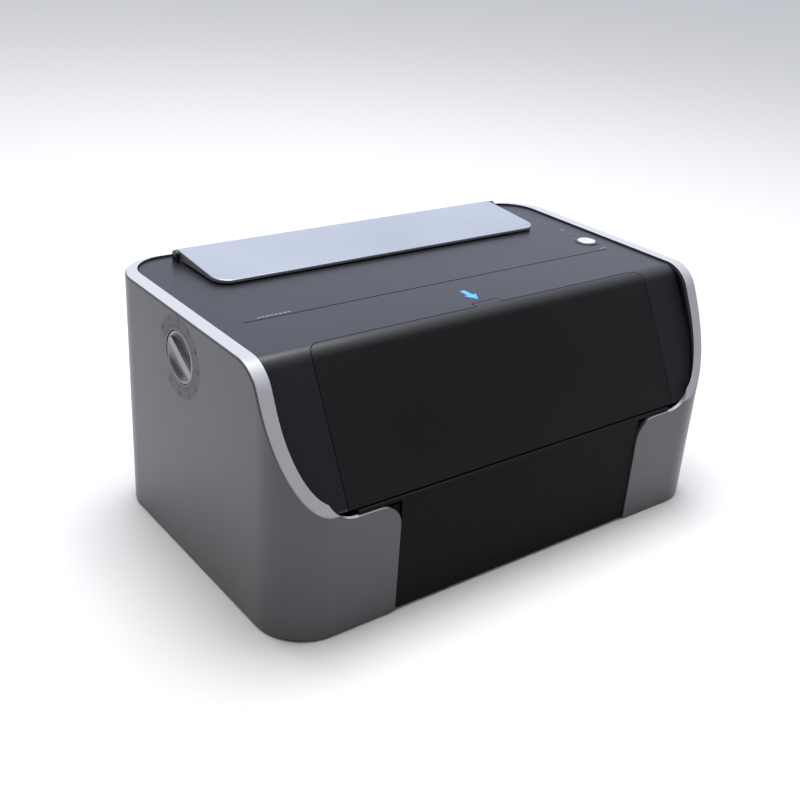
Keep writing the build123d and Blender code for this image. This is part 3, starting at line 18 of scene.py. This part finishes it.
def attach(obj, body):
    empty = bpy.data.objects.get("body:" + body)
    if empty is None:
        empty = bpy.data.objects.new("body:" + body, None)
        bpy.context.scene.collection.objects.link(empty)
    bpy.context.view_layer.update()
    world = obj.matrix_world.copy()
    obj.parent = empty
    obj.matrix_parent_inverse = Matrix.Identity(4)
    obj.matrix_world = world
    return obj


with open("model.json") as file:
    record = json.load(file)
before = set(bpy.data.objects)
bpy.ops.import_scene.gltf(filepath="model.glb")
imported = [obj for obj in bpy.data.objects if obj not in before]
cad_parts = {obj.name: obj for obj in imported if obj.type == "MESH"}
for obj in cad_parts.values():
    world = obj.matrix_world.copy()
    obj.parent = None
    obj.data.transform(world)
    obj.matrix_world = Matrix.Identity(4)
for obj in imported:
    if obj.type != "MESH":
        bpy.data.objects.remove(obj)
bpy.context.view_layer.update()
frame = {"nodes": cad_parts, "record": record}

# %% [markdown]
# ## Units and colours
# Drawings of this kind of machine are in millimetres, and paint is picked as a hex value from a
# colour card. Blender works in metres and in linear light, so two small functions turn one into
# the other. The alternative is to type linear numbers by hand, which nobody can check against a
# card.

# %% Millimetres and card colours
MM = 0.001


def linear(card):
    """Linear RGBA of an sRGB hex value: each channel c is ((c + 0.055) / 1.055) ** 2.4, or
    c / 12.92 when it is very dark."""
    channels = np.array([int(card[i : i + 2], 16) for i in (1, 3, 5)]) / 255
    curved = ((channels + 0.055) / 1.055) ** 2.4
    return (*np.where(channels <= 0.04045, channels / 12.92, curved), 1.0)


# %% [markdown]
# ## The camera
# The camera stands at the front left of the machine and a little above it, about a metre away,
# with a 49 mm lens. It is also tilted a few degrees on its own axis, as a hand-held camera is.
# It could be aimed with a Track To constraint. Building its axes from three angles keeps it plain,
# and leaves nothing live in the scene.

# %% Camera at the front left corner
CAMERA_AZIMUTH = math.radians(-38.51)
CAMERA_ELEVATION = math.radians(26.19)
CAMERA_ROLL = math.radians(4.06)
CAMERA_PLACE = Vector((-0.6873, -0.8249, 0.6369))
LENS = 49.34

camera_data = bpy.data.cameras.new("camera")
camera_data.lens = LENS
camera_data.sensor_width = 36.0
camera = bpy.data.objects.new("camera", camera_data)
bpy.context.scene.collection.objects.link(camera)
looking = Vector((
    -math.sin(CAMERA_AZIMUTH) * math.cos(CAMERA_ELEVATION),
    math.cos(CAMERA_AZIMUTH) * math.cos(CAMERA_ELEVATION),
    -math.sin(CAMERA_ELEVATION),
))
aim = looking.to_track_quat("-Z", "Y").to_matrix().to_4x4()
camera.matrix_world = (
    Matrix.Translation(CAMERA_PLACE) @ aim @ Matrix.Rotation(CAMERA_ROLL, 4, "Z")
)
bpy.context.scene.camera = camera
print("camera", tuple(round(v, 3) for v in CAMERA_PLACE), "looking", tuple(looking))

# %% [markdown]
# ## One helper for nodes
# A material in Blender is a small graph. Adding a node takes three steps: make it, set its
# properties, and join its sockets. One helper does all three, so the graphs below read as lists.
# A separate helper for each kind of node would hide what the graph holds.

# %% Add one node to a graph


def add_node(tree, kind, settings=None, values=None, links=None):
    """Add a node. Settings are its own properties, values fill unlinked sockets, and links join
    the outputs of other nodes to its inputs."""
    made = tree.nodes.new(kind)
    for name, value in (settings or {}).items():
        setattr(made, name, value)
    for name, value in (values or {}).items():
        made.inputs[name].default_value = value
    for name, output in (links or {}).items():
        tree.links.new(output, made.inputs[name])
    return made


def new_surface(name, **values):
    """A material with one Principled shader, and the shader's sockets set by name."""
    made = bpy.data.materials.new(name)
    made.use_nodes = True
    tree = made.node_tree
    tree.nodes.clear()
    shader = add_node(tree, "ShaderNodeBsdfPrincipled", values=values)
    add_node(tree, "ShaderNodeOutputMaterial", links={"Surface": shader.outputs["BSDF"]})
    place = add_node(tree, "ShaderNodeTexCoord").outputs["Object"]
    return made, tree, shader, place


def grains(tree, place, size_mm, detail=2.0, roughness=0.5, stretch=(1, 1, 1)):
    """A noise whose grains are about size_mm across; stretch draws them out along an axis."""
    scaled = add_node(tree, "ShaderNodeMapping", values={"Scale": [1 / s for s in stretch]},
                      links={"Vector": place})
    values = {"Scale": 1 / (size_mm * MM * 2), "Detail": detail, "Roughness": roughness}
    return add_node(tree, "ShaderNodeTexNoise", values=values,
                    links={"Vector": scaled.outputs["Vector"]}).outputs["Fac"]


def between(tree, amount, low, high):
    """Turn a noise from 0.3 to 0.7 into a value from low to high."""
    values = {"From Min": 0.3, "From Max": 0.7, "To Min": low, "To Max": high}
    return add_node(tree, "ShaderNodeMapRange", values=values,
                    links={"Value": amount}).outputs["Result"]


def two_tones(tree, amount, first, second):
    """Mix two card colours by an amount."""
    mixed = add_node(tree, "ShaderNodeMix", {"data_type": "RGBA"}, links={"Factor": amount})
    mixed.inputs[6].default_value = linear(first)
    mixed.inputs[7].default_value = linear(second)
    return mixed.outputs[2]


def relief(tree, height, depth_mm, strength=1.0):
    """Bump from a height field that is depth_mm deep."""
    values = {"Strength": strength, "Distance": depth_mm * MM}
    return add_node(tree, "ShaderNodeBump", values=values,
                    links={"Height": height}).outputs["Normal"]


# %% [markdown]
# ## Silver metallic paint on moulded ABS
# The side panels, the lid and the dial are moulded in ABS plastic and sprayed with metallic
# paint. Tiny aluminium flakes lie in the paint under a satin lacquer. The flakes give a soft,
# wide glow instead of a mirror image, and the lacquer gives the thin bright line on each edge.
# It could be one metallic value and a flat grey. Two noises do more: a fine one for the flakes,
# and a broad one for the slow change of tone that sprayed paint always has.

# %% Silver paint
FLAKE_GAP_MM = 0.3
PAINT_DRIFT_MM = 90.0


def silver_paint(name, light, dark, metal=0.55, rough=0.36, coat=0.25):
    """Metallic paint: flakes with small gaps between them, and a tone that drifts slowly."""
    made, tree, shader, place = new_surface(
        name, Metallic=metal, **{"Coat Weight": coat, "Coat Roughness": 0.22}
    )
    flakes = grains(tree, place, FLAKE_GAP_MM, detail=3.0, roughness=0.7)
    drift = grains(tree, place, PAINT_DRIFT_MM, detail=1.0)
    both = add_node(tree, "ShaderNodeMath", {"operation": "MULTIPLY_ADD"},
                    links={0: flakes, 2: drift})
    both.inputs[1].default_value = 0.35
    amount = between(tree, both.outputs["Value"], -0.4, 0.9)
    tree.links.new(two_tones(tree, amount, dark, light), shader.inputs["Base Color"])
    tree.links.new(between(tree, flakes, rough - 0.05, rough + 0.06), shader.inputs["Roughness"])
    tree.links.new(relief(tree, flakes, 0.012, 0.5), shader.inputs["Normal"])
    return made


panel_silver = silver_paint("silver_panel_paint", "#505055", "#47474B", metal=0.35, rough=0.38,
                            coat=0.18)
lid_silver = silver_paint("silver_lid_paint", "#989CA6", "#8E929C", metal=0.5, rough=0.34)
dial_silver = silver_paint("silver_dial_paint", "#85868C", "#797A80", metal=0.8, rough=0.28)
print("paints", [m.name for m in (panel_silver, lid_silver, dial_silver)])

# %% [markdown]
# ## The bright rim of the side panels
# The rim runs over the top of each side panel, down its slant and along the top of the lobe. It
# looks bright because it faces the light from above, while the sides stay darker. Here that
# difference is painted into the colour. A painted highlight, which is a lighter tone with little
# metal, is mixed over the panel's darker paint wherever the surface faces up. It fades out halfway
# round the outer edge, where the normal turns along X. With little metal, the highlight looks much
# the same from all sides. The graph reads how far the surface faces up and how far it faces
# sideways, and mixes the lighter tone in. Cutting the panel's mesh in two would also work, but it
# would leave a hard line where the highlight fades round the edge.

# %% Painted highlight on what faces up
# Painted highlight: this lighter tone and metal stand for light from above on the rim, and the
# sideways limits fade the highlight where the surface turns to the side.
RIM_HIGHLIGHT_TONE = "#9C9DA3"
RIM_HIGHLIGHT_METAL = 0.05
SIDEWAYS_NO_HIGHLIGHT, SIDEWAYS_FULL_HIGHLIGHT = 0.6, 0.3


def spray_from_above(made, tone, metal, start=0.10, full=0.32):
    """Painted highlight: mix a lighter tone, and its share of metal, over a paint where the
    normal's Z goes from start to full, less where the normal points along X."""
    tree = made.node_tree
    shader = next(node for node in tree.nodes if node.type == "BSDF_PRINCIPLED")
    under = shader.inputs["Base Color"].links[0].from_socket
    normal = add_node(tree, "ShaderNodeTexCoord").outputs["Normal"]
    parts = add_node(tree, "ShaderNodeSeparateXYZ", links={"Vector": normal})
    mask = add_node(tree, "ShaderNodeMapRange", {"interpolation_type": "SMOOTHSTEP"},
                    {"From Min": start, "From Max": full},
                    {"Value": parts.outputs["Z"]}).outputs["Result"]
    sideways = add_node(tree, "ShaderNodeMath", {"operation": "ABSOLUTE"},
                        links={0: parts.outputs["X"]}).outputs["Value"]
    highlight_kept = add_node(tree, "ShaderNodeMapRange", {"interpolation_type": "SMOOTHSTEP"},
                       {"From Min": SIDEWAYS_FULL_HIGHLIGHT, "From Max": SIDEWAYS_NO_HIGHLIGHT, "To Min": 1, "To Max": 0},
                       {"Value": sideways}).outputs["Result"]
    both = add_node(tree, "ShaderNodeMath", {"operation": "MULTIPLY"},
                    links={0: mask, 1: highlight_kept}).outputs["Value"]
    mixed = add_node(tree, "ShaderNodeMix", {"data_type": "RGBA"}, links={"Factor": both})
    tree.links.new(under, mixed.inputs[6])
    mixed.inputs[7].default_value = linear(tone)
    tree.links.new(mixed.outputs[2], shader.inputs["Base Color"])
    under_metal = shader.inputs["Metallic"].default_value
    share = add_node(tree, "ShaderNodeMapRange", values={"To Min": under_metal, "To Max": metal},
                     links={"Value": both}).outputs["Result"]
    tree.links.new(share, shader.inputs["Metallic"])


# Paint the highlight on whatever faces up on the side panels.
spray_from_above(panel_silver, RIM_HIGHLIGHT_TONE, RIM_HIGHLIGHT_METAL)

# %% [markdown]
# ## Textured ABS for the dark casing
# The cover, the door and the lower panel come straight from their moulds, and the moulds are
# spark-eroded to a fine matte grain. The grain is what makes black plastic look grey where it is
# seen along its surface. A smooth black would look like glass. The noise here has grains of
# 0.8 mm, coarser than the real 0.2 mm, because finer ones would vanish between pixels. Each
# moulding has its own gloss, because the lower panel's mould is rougher than the cover's.

# %% Textured ABS
MOULD_DRIFT_MM = 120.0


def textured_abs(name, light, dark, grain_mm=0.8, rough=(0.42, 0.54), depth_mm=0.03, gloss=0.5):
    """Moulded ABS: base tone with a slow drift, roughness and relief from the mould's grain."""
    made, tree, shader, place = new_surface(name, **{"IOR": 1.52, "Specular IOR Level": gloss})
    grain = grains(tree, place, grain_mm, detail=4.0, roughness=0.6)
    drift = grains(tree, place, MOULD_DRIFT_MM, detail=1.5)
    tree.links.new(two_tones(tree, between(tree, drift, 0, 1), dark, light),
                   shader.inputs["Base Color"])
    tree.links.new(between(tree, grain, *rough), shader.inputs["Roughness"])
    tree.links.new(relief(tree, grain, depth_mm, 0.6), shader.inputs["Normal"])
    return made


cover_abs = textured_abs("cover_textured_abs", "#1C1B21", "#16151A", rough=(0.28, 0.38),
                         gloss=0.34)
door_abs = textured_abs("door_textured_abs", "#121216", "#0D0D10", rough=(0.30, 0.40), gloss=0.36)
front_abs = textured_abs("front_panel_abs", "#08080A", "#040405", rough=(0.6, 0.7), gloss=0.12)
inner_abs = textured_abs("inner_black_abs", "#1D1D1F", "#161618", grain_mm=1.2)
cartridge_abs = textured_abs("cartridge_polypropylene", "#2A2B2E", "#232427", grain_mm=1.5)
trim_abs = textured_abs("gloss_trim_abs", "#141417", "#101013", rough=(0.16, 0.24),
                        depth_mm=0.01)
button_abs = textured_abs("button_silver_white_abs", "#AEB6C4", "#A3ABBA", rough=(0.2, 0.3),
                          depth_mm=0.01)
tank_pp = textured_abs("tank_natural_polypropylene", "#D8D8CF", "#C9C9BF", grain_mm=2.0)
nylon = textured_abs("cam_natural_nylon", "#DEDCD2", "#D0CEC4", grain_mm=1.5)

# %% [markdown]
# ## Metals inside the machine
# The frame plates are folded from zinc-plated sheet, whose crystals show as a faint spangle. The
# rods are ground and hardened, with fine rings round them. The beam and the bed are milled
# aluminium. All are metals, so they are fully metallic and keep the default IOR, and only their
# tone, roughness and the direction of their marks differ.

# %% Machined and plated metals


def machined(name, light, dark, rough, mark_mm=0.6, along=(1, 1, 1)):
    """Metal with marks mark_mm wide, drawn out by the stretch named in along."""
    made, tree, shader, place = new_surface(name, Metallic=1.0)
    marks = grains(tree, place, mark_mm, detail=3.0, stretch=along)
    cloud = grains(tree, place, 25.0, detail=2.0)
    tree.links.new(two_tones(tree, between(tree, cloud, 0, 1), dark, light),
                   shader.inputs["Base Color"])
    tree.links.new(between(tree, marks, rough - 0.06, rough + 0.08), shader.inputs["Roughness"])
    tree.links.new(relief(tree, marks, 0.01, 0.4), shader.inputs["Normal"])
    return made


zinc = machined("zinc_plated_sheet", "#C4C7C6", "#B2B6B5", 0.36, mark_mm=3.0)
ground = machined("ground_steel_rod", "#D9DADB", "#CDCECF", 0.16, along=(12, 1, 1))
steel = machined("plain_steel", "#B9B9B8", "#A8A8A7", 0.30)
screw_black = machined("black_oxide_screw", "#3A3A3B", "#2B2B2C", 0.42)
milled = machined("milled_aluminium", "#D3D5D8", "#C6C8CC", 0.30, along=(14, 1, 1))
anodised = machined("black_anodised_bed", "#3B3C40", "#303135", 0.38, mark_mm=0.5)
bronze = machined("sintered_bronze", "#B58A4E", "#9E7640", 0.44, mark_mm=0.8)
head_steel = machined("nozzle_plate_steel", "#A5A6A9", "#96979A", 0.22)
motor_paint = textured_abs("motor_black_enamel", "#1B1B1D", "#141416", rough=(0.3, 0.4))

# %% [markdown]
# ## Rubber, film, boards and glass
# The feet and the belt are rubber, which is dark and rough all over. Circuit boards are glass
# fibre under green solder mask. The encoder strip is clear film with fine lines printed on it,
# and the lamp looks out through quartz.

# %% Rubber, solder mask, film and quartz
rubber = textured_abs("nitrile_rubber", "#1A1A1A", "#131313", grain_mm=1.0, rough=(0.7, 0.85))
solder_mask = textured_abs("green_solder_mask", "#1B4D31", "#153F28", grain_mm=1.6,
                           rough=(0.25, 0.35))


def encoder_film(name):
    """Clear film printed with lines 1 mm apart: a wave along X, cut to light and dark."""
    made, tree, shader, place = new_surface(name, Roughness=0.2, IOR=1.5)
    wave = add_node(tree, "ShaderNodeTexWave", {"bands_direction": "X"},
                    {"Scale": 50.0}, {"Vector": place}).outputs["Fac"]
    tree.links.new(two_tones(tree, wave, "#8C9092", "#3A3C3E"), shader.inputs["Base Color"])
    return made


film = encoder_film("encoder_film")
quartz = new_surface("lamp_quartz", Roughness=0.05, IOR=1.46,
                     **{"Transmission Weight": 1.0, "Base Color": linear("#E8EEF8")})[0]

# %% [markdown]
# ## Finishes on the model's own nodes
# Each node has a material slot named in the printer's record. One table says which finish stands
# for which slot, so a node that is added later gets its finish without a new line here.

# %% Give every node its finish
FINISHES = {
    "silver_paint": panel_silver,
    "silver_lid": lid_silver,
    "dial_silver": dial_silver,
    "dark_cover": cover_abs,
    "door_plastic": door_abs,
    "black_panel": front_abs,
    "black_trim": trim_abs,
    "black_moulding": inner_abs,
    "black_screw": screw_black,
    "button_white": button_abs,
    "circuit_board": solder_mask,
    "cartridge": cartridge_abs,
    "steel": steel,
    "ground_steel": ground,
    "zinc_steel": zinc,
    "rubber": rubber,
    "belt_rubber": rubber,
    "bronze": bronze,
    "motor_body": motor_paint,
    "translucent_tank": tank_pp,
    "white_nylon": nylon,
    "aluminium": milled,
    "anodised_bed": anodised,
    "clear_film": film,
    "head_ceramic": head_steel,
    "lamp_glass": quartz,
}
slot_of = {row["node"]: row["material_slot"] for row in frame["record"]["subparts"]}
for node, body_object in frame["nodes"].items():
    body_object.data.materials.clear()
    body_object.data.materials.append(FINISHES[slot_of[node]])
print(len(frame["nodes"]), "nodes finished with", len(set(slot_of.values())), "slots")

# %% [markdown]
# ## Surfaces from arrays
# The small pieces that follow are grids of points: a function of two parameters gives every
# point at once, as a numpy array, and one call puts the grid into a mesh.

# %% Put a grid of points into a mesh


def grid_faces(rows, columns, closed=False):
    """Corner indices of the quads of a grid, whose columns wrap round where it is closed."""
    low = np.arange(rows - 1)[:, None]
    high = low + 1
    left = np.arange(columns if closed else columns - 1)[None, :]
    right = (left + 1) % columns
    corners = (low * columns + left, low * columns + right,
               high * columns + right, high * columns + left)
    return np.stack(corners, axis=-1).reshape(-1, 4)


def new_piece(name, points, faces, material, body, smooth=True):
    """A mesh object from points (n x 3, metres) and faces, riding on a body."""
    mesh = bpy.data.meshes.new(name)
    mesh.from_pydata(points.reshape(-1, 3).tolist(), [], [list(map(int, f)) for f in faces])
    mesh.polygons.foreach_set("use_smooth", np.full(len(mesh.polygons), smooth))
    mesh.materials.append(material)
    piece = bpy.data.objects.new(name, mesh)
    bpy.context.scene.collection.objects.link(piece)
    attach(piece, body)
    return piece


# %% [markdown]
# ## The scale round the height dial
# Printed on the left side, round the dial, is a scale: a ring of fine ticks and the numbers 0 to
# 9, which say how high the head is set, on a band a little darker than the paint. It is pad
# printed, so it is flat and has no thickness worth seeing. The digits come from the built-in
# typeface, turned into meshes and laid on the panel. The ticks are a grid of small rectangles. It
# could be painted with a texture, but meshes stay sharp from close by.

# %% Ticks and numbers on the left side
DIAL_CENTRE = np.array([-278.0, 19.5, 214.0]) * MM
INK_LIFT = 0.06 * MM
DIAL_START = math.radians(180 - 31)
DIAL_TURN = math.radians(270)
BAND_RADII = (27.6 * MM, 40.4 * MM)
BAND_PAST_END = 0.21
TICKS = 46
TICK_START = 28.6
LONG_TICK_END, SHORT_TICK_END = 32.2, 30.6
LONG_TICK_HALF, SHORT_TICK_HALF = 0.5, 0.3
NUMBER_RADIUS = 37.2 * MM
NUMBER_SIZE = 7.4 * MM
NUMBER_BOLDNESS = 0.03

ink = new_surface("dark_pad_print_ink", Roughness=0.55, **{"Base Color": linear("#1C1C1E")})[0]
band_ink = new_surface("grey_pad_print_ink", Roughness=0.45,
                       **{"Base Color": linear("#4E4E51")})[0]
pale_ink = new_surface("pale_pad_print_ink", Roughness=0.5,
                       **{"Base Color": linear("#5C606A")})[0]
blue_ink = new_surface("blue_pad_print_ink", Roughness=0.4,
                       **{"Base Color": linear("#3F93D6")})[0]


def on_left_side(along, up):
    """Points on the left face from the dial's centre: along runs to the viewer's right."""
    x = np.full_like(along, DIAL_CENTRE[0] - INK_LIFT)
    return np.stack((x, DIAL_CENTRE[1] - along, DIAL_CENTRE[2] + up), axis=-1)


def dial_ticks():
    """Rectangles at even angles: corner = centre + r * (cos t, sin t) + side * w * (-sin t,
    cos t), longer at every fifth."""
    steps = np.arange(TICKS)
    turn = DIAL_START - DIAL_TURN * steps / (TICKS - 1)
    inner = np.full(TICKS, TICK_START) * MM
    outer = np.where(steps % 5 == 0, LONG_TICK_END, SHORT_TICK_END) * MM
    half = np.where(steps % 5 == 0, LONG_TICK_HALF, SHORT_TICK_HALF) * MM
    out = np.stack((np.cos(turn), np.sin(turn)), axis=-1)
    across = np.stack((-np.sin(turn), np.cos(turn)), axis=-1)
    corners = np.stack([
        out * radius[:, None] + across * (side * half)[:, None]
        for radius, side in ((inner, -1), (inner, 1), (outer, 1), (outer, -1))
    ], axis=1)
    points = on_left_side(corners[..., 0], corners[..., 1])
    return points, np.arange(4 * TICKS).reshape(TICKS, 4)


def dial_band(inner, outer, rings=2, steps=120):
    """Flat sector under the marks: r (cos t, sin t), with r from inner to outer, and t over
    the dial's turn and a little past each end."""
    radius = np.linspace(inner, outer, rings)[:, None]
    turn = np.linspace(DIAL_START + BAND_PAST_END, DIAL_START - DIAL_TURN - BAND_PAST_END,
                       steps)[None, :]
    flat = on_left_side(radius * np.cos(turn), radius * np.sin(turn))
    return flat + [INK_LIFT / 2, 0, 0], grid_faces(rings, steps)


points, faces = dial_band(*BAND_RADII)
new_piece("dial_scale_band", points, faces, band_ink, "casing", smooth=False)
points, faces = dial_ticks()
new_piece("dial_scale_ticks", points, faces, ink, "casing", smooth=False)


def digit_mesh(text, size):
    """One piece of text as a flat mesh in the XY plane, centred."""
    curve = bpy.data.curves.new("digit", "FONT")
    curve.body = text
    curve.size = size
    curve.offset = size * NUMBER_BOLDNESS
    curve.align_x = "CENTER"
    curve.align_y = "CENTER"
    holder = bpy.data.objects.new("digit", curve)
    mesh = bpy.data.meshes.new_from_object(holder)
    bpy.data.objects.remove(holder)
    return mesh


for number in range(10):
    turn = DIAL_START - DIAL_TURN * number / 9
    mesh = digit_mesh(str(number), NUMBER_SIZE)
    centre = on_left_side(np.array(NUMBER_RADIUS * math.cos(turn)),
                          np.array(NUMBER_RADIUS * math.sin(turn)))
    facing_out = Matrix(((0, 0, -1, centre[0]), (-1, 0, 0, centre[1]),
                         (0, 1, 0, centre[2]), (0, 0, 0, 1)))
    mesh.transform(facing_out)
    mesh.materials.clear()
    mesh.materials.append(ink)
    digit = bpy.data.objects.new(f"dial_number_{number}", mesh)
    bpy.context.scene.collection.objects.link(digit)
    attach(digit, "casing")

# %% [markdown]
# ## Printed marks on the cover
# Three small prints sit on the cover: a pale line of type by the groove, a blue arrow that shows
# where to pull the door, and pale signs beside the power button. Their wording is not copied.
# Short dashes stand for the type, and a plain arrow stands for the blue mark.

# %% Dashes, arrow and signs
COVER_TOP = 255.0 * MM + INK_LIFT


def dashes(x, y, count, width, gap, tall):
    """A row of count rectangles from x, each width wide and tall high, gap apart."""
    left = x + np.arange(count) * (width + gap)
    corners = np.array([(0, 0), (1, 0), (1, 1), (0, 1)])
    px = left[:, None] + corners[None, :, 0] * width
    py = y + np.broadcast_to(corners[None, :, 1] * tall, px.shape)
    points = np.stack((px * MM, py * MM, np.full_like(px, COVER_TOP)), axis=-1)
    return points, np.arange(4 * count).reshape(count, 4)


for name, row in {
    "label_dashes": (-217.5, -19.0, 8, 3.4, 1.2, 2.6),
    "light_sign": (235.6, 51.0, 3, 1.6, 0.8, 4.5),
    "button_sign": (229.5, -19.5, 3, 2.6, 1.0, 3.4),
}.items():
    points, faces = dashes(*row)
    new_piece(name, points, faces, pale_ink, "casing", smooth=False)

ARROW = np.array([(-5.2, -50.5), (-5.2, -63), (-9.5, -63), (-2, -75.5), (5.5, -63),
                  (1.2, -63), (1.2, -50.5)]) * MM
points = np.column_stack((ARROW, np.full(len(ARROW), COVER_TOP)))
new_piece("blue_arrow", points, [range(len(ARROW))], blue_ink, "casing", smooth=False)

# %% [markdown]
# ## Status light
# The light beside the button is a small clear dome over the diode on the board. A shallow cap
# turned from an arc shows the bead of light that a flat disc would not.

# %% Lens over the diode
LENS_CENTRE = (234.1 * MM, 36.0 * MM, 255.3 * MM)
LENS_RADIUS = 1.55 * MM
LENS_RISE = 0.55 * MM


def dome(centre, radius, rise, rings=10, steps=40):
    """Cap of a flattened sphere: r = radius sin a, z = rise cos a, for a from 0 to 90 degrees."""
    a = np.linspace(0.02, np.pi / 2, rings)[:, None]
    t = np.linspace(0, 2 * np.pi, steps, endpoint=False)[None, :]
    x = centre[0] + radius * np.sin(a) * np.cos(t)
    y = centre[1] + radius * np.sin(a) * np.sin(t)
    z = centre[2] + rise * np.cos(a) + np.zeros_like(t)
    return np.stack((x, y, z), axis=-1), grid_faces(rings, steps, closed=True)


lens_green = new_surface("lens_green_acrylic", Roughness=0.08, IOR=1.49,
                         **{"Base Color": linear("#2F6B4A")})[0]
points, faces = dome(LENS_CENTRE, LENS_RADIUS, LENS_RISE)
new_piece("status_lens", points, faces, lens_green, "casing")

# %% [markdown]
# ## Labels on the ink cartridges
# Under the lid stand six cartridges. Each carries a paper label in the colour of its ink: black,
# cyan, magenta, yellow and two whites. The label is a plain sheet stuck on the raised top.

# %% Cartridge labels
TRAY_HALF = 194.0
CELL = 2 * TRAY_HALF / 6
LABEL_HALF = (CELL / 2 - 1.6) * 0.6 - 1.2
LABEL_TOP = 197.0 + 43.0 + 0.06
LABEL_Y = (91.5, 130.5)
INKS = {"black": "#1A1A1C", "cyan": "#1597C9", "magenta": "#C02672", "yellow": "#E6C520",
        "white_left": "#E9E9E6", "white_right": "#E9E9E6"}
for cell, (word, card) in enumerate(INKS.items()):
    middle = (cell + 0.5) * CELL - TRAY_HALF
    sheet = np.array([
        (middle - LABEL_HALF, LABEL_Y[0], LABEL_TOP), (middle + LABEL_HALF, LABEL_Y[0], LABEL_TOP),
        (middle + LABEL_HALF, LABEL_Y[1], LABEL_TOP), (middle - LABEL_HALF, LABEL_Y[1], LABEL_TOP),
    ]) * MM
    paper = new_surface(f"label_paper_{word}", Roughness=0.5, **{"Base Color": linear(card)})[0]
    new_piece(f"cartridge_label_{word}", sheet, [(0, 1, 2, 3)], paper, "casing",
              smooth=False)

# %% [markdown]
# ## Floor and light
# The machine stands on a plain pale floor. One wide soft box hangs overhead and a little behind,
# so tops are bright and fronts are dark. The rest is a room: a bright ceiling, and a wide window
# behind the machine on its right, which the cover, the lid and the rim mirror softly. Light from
# the window is a little blue, as daylight is. Point lights would give hard shadows, which a
# product picture does not have.

# %% Floor, soft box and sky
FLOOR_HALF = 15.0
WINDOW_SIDE = Vector((0.62, 0.75, 0.22)).normalized()
corners = np.array([(-1, -1, 0), (1, -1, 0), (1, 1, 0), (-1, 1, 0)]) * FLOOR_HALF
floor_mesh = bpy.data.meshes.new("floor")
floor_mesh.from_pydata(corners.tolist(), [], [(0, 1, 2, 3)])
floor_paint = new_surface("floor_paper", Roughness=0.9,
                          **{"Base Color": linear("#C8C8C8"), "Specular IOR Level": 0.1})[0]
floor_mesh.materials.append(floor_paint)
floor = bpy.data.objects.new("floor", floor_mesh)
bpy.context.scene.collection.objects.link(floor)


def soft_box(name, place, size, power, target=(0, 0, 0.1)):
    """A square area light at a place, facing a target."""
    data = bpy.data.lights.new(name, "AREA")
    data.size = size
    data.energy = power
    lamp = bpy.data.objects.new(name, data)
    lamp.location = place
    lamp.rotation_euler = (Vector(target) - Vector(place)).to_track_quat("-Z", "Y").to_euler()
    bpy.context.scene.collection.objects.link(lamp)
    return lamp


soft_box("overhead_box", (0.1, 0.35, 2.6), 1.6, 85)

sky = bpy.data.worlds.new("studio")
sky.use_nodes = True
bpy.context.scene.world = sky
sky_tree = sky.node_tree
sky_tree.nodes.clear()
toward = add_node(sky_tree, "ShaderNodeTexCoord").outputs["Generated"]
facing = add_node(sky_tree, "ShaderNodeVectorMath", {"operation": "DOT_PRODUCT"},
                  links={0: toward})
facing.inputs[1].default_value = WINDOW_SIDE
window = add_node(sky_tree, "ShaderNodeMapRange", {"interpolation_type": "SMOOTHSTEP"},
                  {"From Min": 0.05, "From Max": 0.95, "To Min": 0.12, "To Max": 1.15},
                  {"Value": facing.outputs["Value"]}).outputs["Result"]
height = add_node(sky_tree, "ShaderNodeSeparateXYZ", links={"Vector": toward}).outputs["Z"]
ceiling = add_node(sky_tree, "ShaderNodeMapRange", {"interpolation_type": "SMOOTHSTEP"},
                   {"From Min": 0.4, "From Max": 0.95, "To Min": 0.0, "To Max": 1.15},
                   {"Value": height}).outputs["Result"]
glow = add_node(sky_tree, "ShaderNodeMath", {"operation": "ADD"},
                links={0: window, 1: ceiling}).outputs["Value"]
tint = add_node(sky_tree, "ShaderNodeMix", {"data_type": "RGBA"},
                links={"Factor": facing.outputs["Value"]})
tint.inputs[6].default_value = linear("#FFFDFC")
tint.inputs[7].default_value = linear("#E0EAFF")
back = add_node(sky_tree, "ShaderNodeBackground",
                links={"Color": tint.outputs[2], "Strength": glow})
add_node(sky_tree, "ShaderNodeOutputWorld", links={"Surface": back.outputs["Background"]})
bpy.context.scene.view_settings.view_transform = "Standard"
